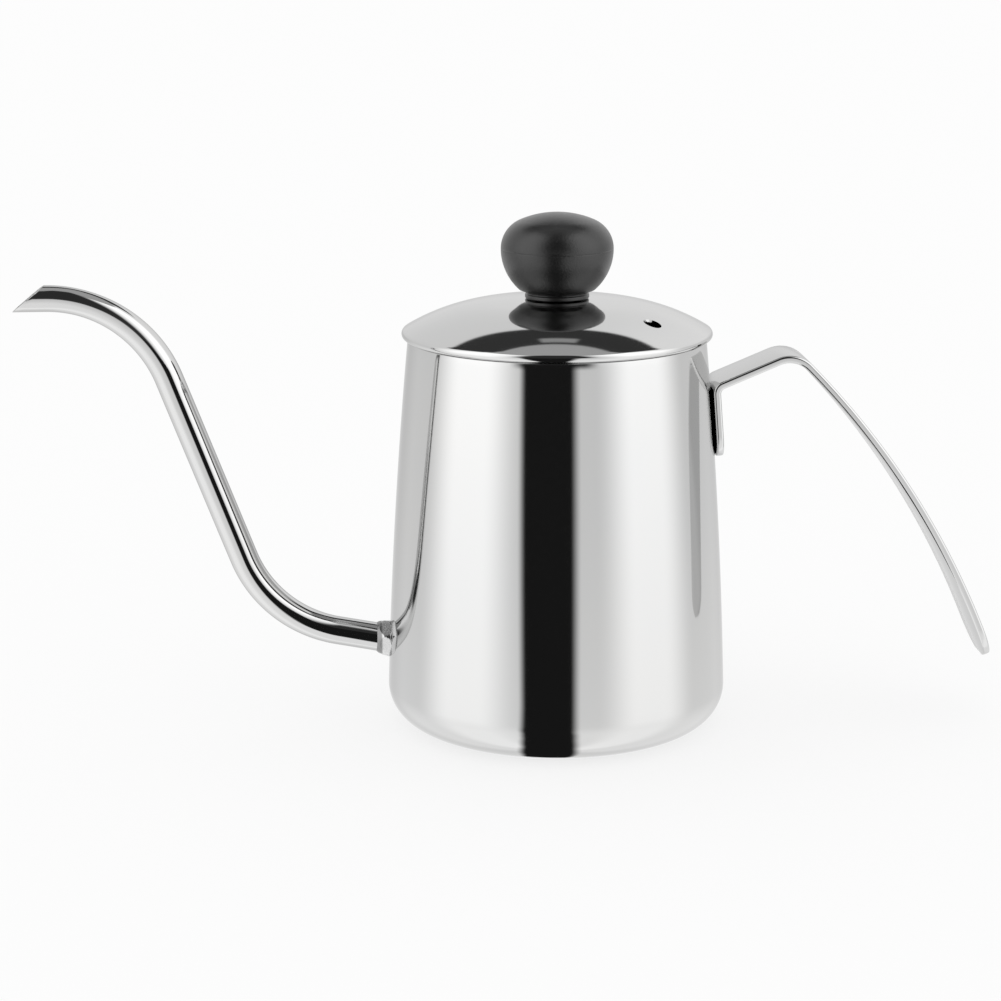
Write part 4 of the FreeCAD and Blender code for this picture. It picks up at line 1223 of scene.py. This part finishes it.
def side_light(from_front, from_back, height):
    """The plain tent, paler below and at the back, with a soft box on either side."""
    plain = TENT_PLAIN + PAPER_LIFT * (1 - ramp(height, *PAPER_HEIGHT))
    lift = BACK_LIFT + ramp(from_back, *RIGHT_TURN) * RIGHT_LIFT
    far_side = between(from_back, *FAR_TURN) * (1 - ramp(height, *FAR_HEIGHT))
    plain = plain + ramp(height, *BACK_HEIGHT) * lift - far_side * FAR_SHADE
    boxes = between(from_front, *LEFT_BOX)
    boxes = boxes + between(from_front, *RIGHT_BOX) * RIGHT_BOX_SHARE
    return plain + boxes * (BOX_FOOT + ramp(height, *BOX_HEIGHT) * BOX_RISE)


# %% The tent's dark parts
STRIP_DARK = 0.05
STRIP_HEIGHT = (47.0, 64.0, 1.0)
STRIP_TURN = (-65.0, 65.0, 8.0)
STRIP_TILT = 0.03
LAMP_PATCH = 0.34
LAMP_HEIGHT = (57.4, 61.3, 0.8)
LAMP_TURN = (-2.0, 14.0, 1.5)
OVERHEAD_GREY = 0.52
OVERHEAD_HEIGHT = (62.4, 64.2)
CAMERA_SIDE_DARK = 0.04
CAMERA_SIDE_TURN = (-35.0, 22.0, 7.0)
CAMERA_SIDE_HEIGHT = (4.0, 81.0, 4.0)


def covered(light, mask, level):
    """Light with another level laid over it where a mask is one."""
    return light * (1 - mask) + mask * level


def darkened(light, from_front, from_back, height):
    """A dark strip with a lamp in it, grey right overhead, and the dark side above the camera."""
    strip = between(height - from_back * STRIP_TILT, *STRIP_HEIGHT)
    strip = strip * between(from_back, *STRIP_TURN)
    lamp = between(height, *LAMP_HEIGHT) * between(from_back, *LAMP_TURN)
    light = covered(light, strip, STRIP_DARK + lamp * LAMP_PATCH)
    light = covered(light, ramp(height, *OVERHEAD_HEIGHT), OVERHEAD_GREY)
    camera_side = between(from_front, *CAMERA_SIDE_TURN)
    camera_side = camera_side * between(height, *CAMERA_SIDE_HEIGHT)
    return covered(light, camera_side, CAMERA_SIDE_DARK)


# %% The light tent
TENT_RADIUS = 2.0
TENT_CENTRE = 0.1


def tent_material():
    """Light by direction: how far round from the front or the back, and how high."""
    material, graph, place = new_material("light_tent")
    x, y, z = axes(place)
    degrees = math.degrees(1.0)
    from_front = x.math("ARCTAN2", x, y * -1.0) * degrees
    from_back = x.math("ARCTAN2", x, y) * degrees
    height = x.math("ARCSINE", (z - TENT_CENTRE) / TENT_RADIUS) * degrees
    light = side_light(from_front, from_back, height)
    light = darkened(light, from_front, from_back, height)
    close_material(glow(graph, light))
    return material


def only_reflected(piece):
    """Keep a stage piece out of everything but reflections."""
    for kind in ("camera", "diffuse", "transmission", "volume_scatter", "shadow"):
        setattr(piece, "visible_" + kind, False)
    piece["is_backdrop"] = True
    return piece


def make_tent():
    shape = bmesh.new()
    bmesh.ops.create_uvsphere(shape, u_segments=96, v_segments=48, radius=TENT_RADIUS,
                              matrix=Matrix.Translation((0.0, 0.0, TENT_CENTRE)))
    mesh = mesh_of("light_tent", shape)
    mesh.materials.append(tent_material())
    return only_reflected(link("light_tent", mesh))


make_tent()
print("tent of", TENT_RADIUS, "m round the kettle")

# %% The black card
# Each row has its place along Y and Z, and then its left and right edge along X, in millimetres.
CARD_ROWS = [
    (-180, 125, -100, 24),
    (-180, -20, -85, 21),
    (-180, -60, -90, 22),
    (-136, -60, -66, 18),
    (-94, -60, -46, 13),
    (-50, -60, -29, 10),
    (0, -60, -16, 9),
    (45, -60, -8, 8),
]
CARD_SOFT = 0.1
CARD_SHADES = (0.0, 1.0, 1.0, 0.0)
CARD_STEPS = 8
CARD_BLACK = 0.013


def card_rows():
    """The card's rows, with more of them laid between."""
    rows = [CARD_ROWS[0]]
    for start, stop in zip(CARD_ROWS, CARD_ROWS[1:]):
        for step in range(1, CARD_STEPS + 1):
            share = step / CARD_STEPS
            rows.append(tuple(low + (high - low) * share for low, high in zip(start, stop)))
    return rows


def card_material():
    """Black that clears towards the card's edges."""
    material, graph, _ = new_material("black_card")
    share = ramp(graph.add("ShaderNodeAttribute", attribute_name="shade")["Fac"], 0.0, 1.0)
    clear = graph.add("ShaderNodeBsdfTransparent")
    close_material(blended(share, clear, glow(graph, CARD_BLACK)))
    return material


def make_card():
    """A card that hangs in front of the pot and runs on below it, with soft edges."""
    points, shades = [], []
    for y, z, left, right in card_rows():
        soft = (right - left) * CARD_SOFT
        across = (left - soft, left + soft, right - soft, right + soft)
        points += [(x * MM, y * MM, z * MM) for x in across]
        shades += CARD_SHADES
    count = len(CARD_SHADES)
    faces = [(row + i, row + i + 1, row + count + i + 1, row + count + i)
             for row in range(0, len(points) - count, count) for i in range(count - 1)]
    mesh = mesh_from("black_card", points, faces, card_material())
    mesh.attributes.new("shade", "FLOAT", "POINT").data.foreach_set("value", shades)
    return only_reflected(link("black_card", mesh))


card = make_card()
print("card:", len(card.data.polygons), "faces")

# %% [markdown]
# ## The camera
# The place and lens come from matching the outline of the kettle in the photograph: a long lens, a
# little above the lid and slightly to the left, with no shift.

# %% Camera
CAMERA_PLACE = (-0.06315, -0.70168, 0.22215)
CAMERA_TURN = (90.0 - 12.978, 0.086, -3.955)
CAMERA_LENS = 97.909
SENSOR_WIDTH = 36.0
camera_data = bpy.data.cameras.new("camera")
camera_data.lens = CAMERA_LENS
camera_data.sensor_width = SENSOR_WIDTH
camera = link("camera", camera_data)
camera.location = CAMERA_PLACE
camera.rotation_euler = [math.radians(angle) for angle in CAMERA_TURN]
bpy.context.scene.camera = camera
bpy.context.scene.view_settings.view_transform = "Standard"
print("camera at", tuple(round(value, 3) for value in CAMERA_PLACE))

# %% [markdown]
# ## Compare the size
# The dressed kettle has to fill the same box as the construction model, so the difference between
# both boxes is printed.

# %% Compare the boxes
new_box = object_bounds()
both_boxes = zip((*cad_box[0], *cad_box[1]), (*new_box[0], *new_box[1]))
print("grown by mm:", [round((new - old) / MM, 3) for old, new in both_boxes])
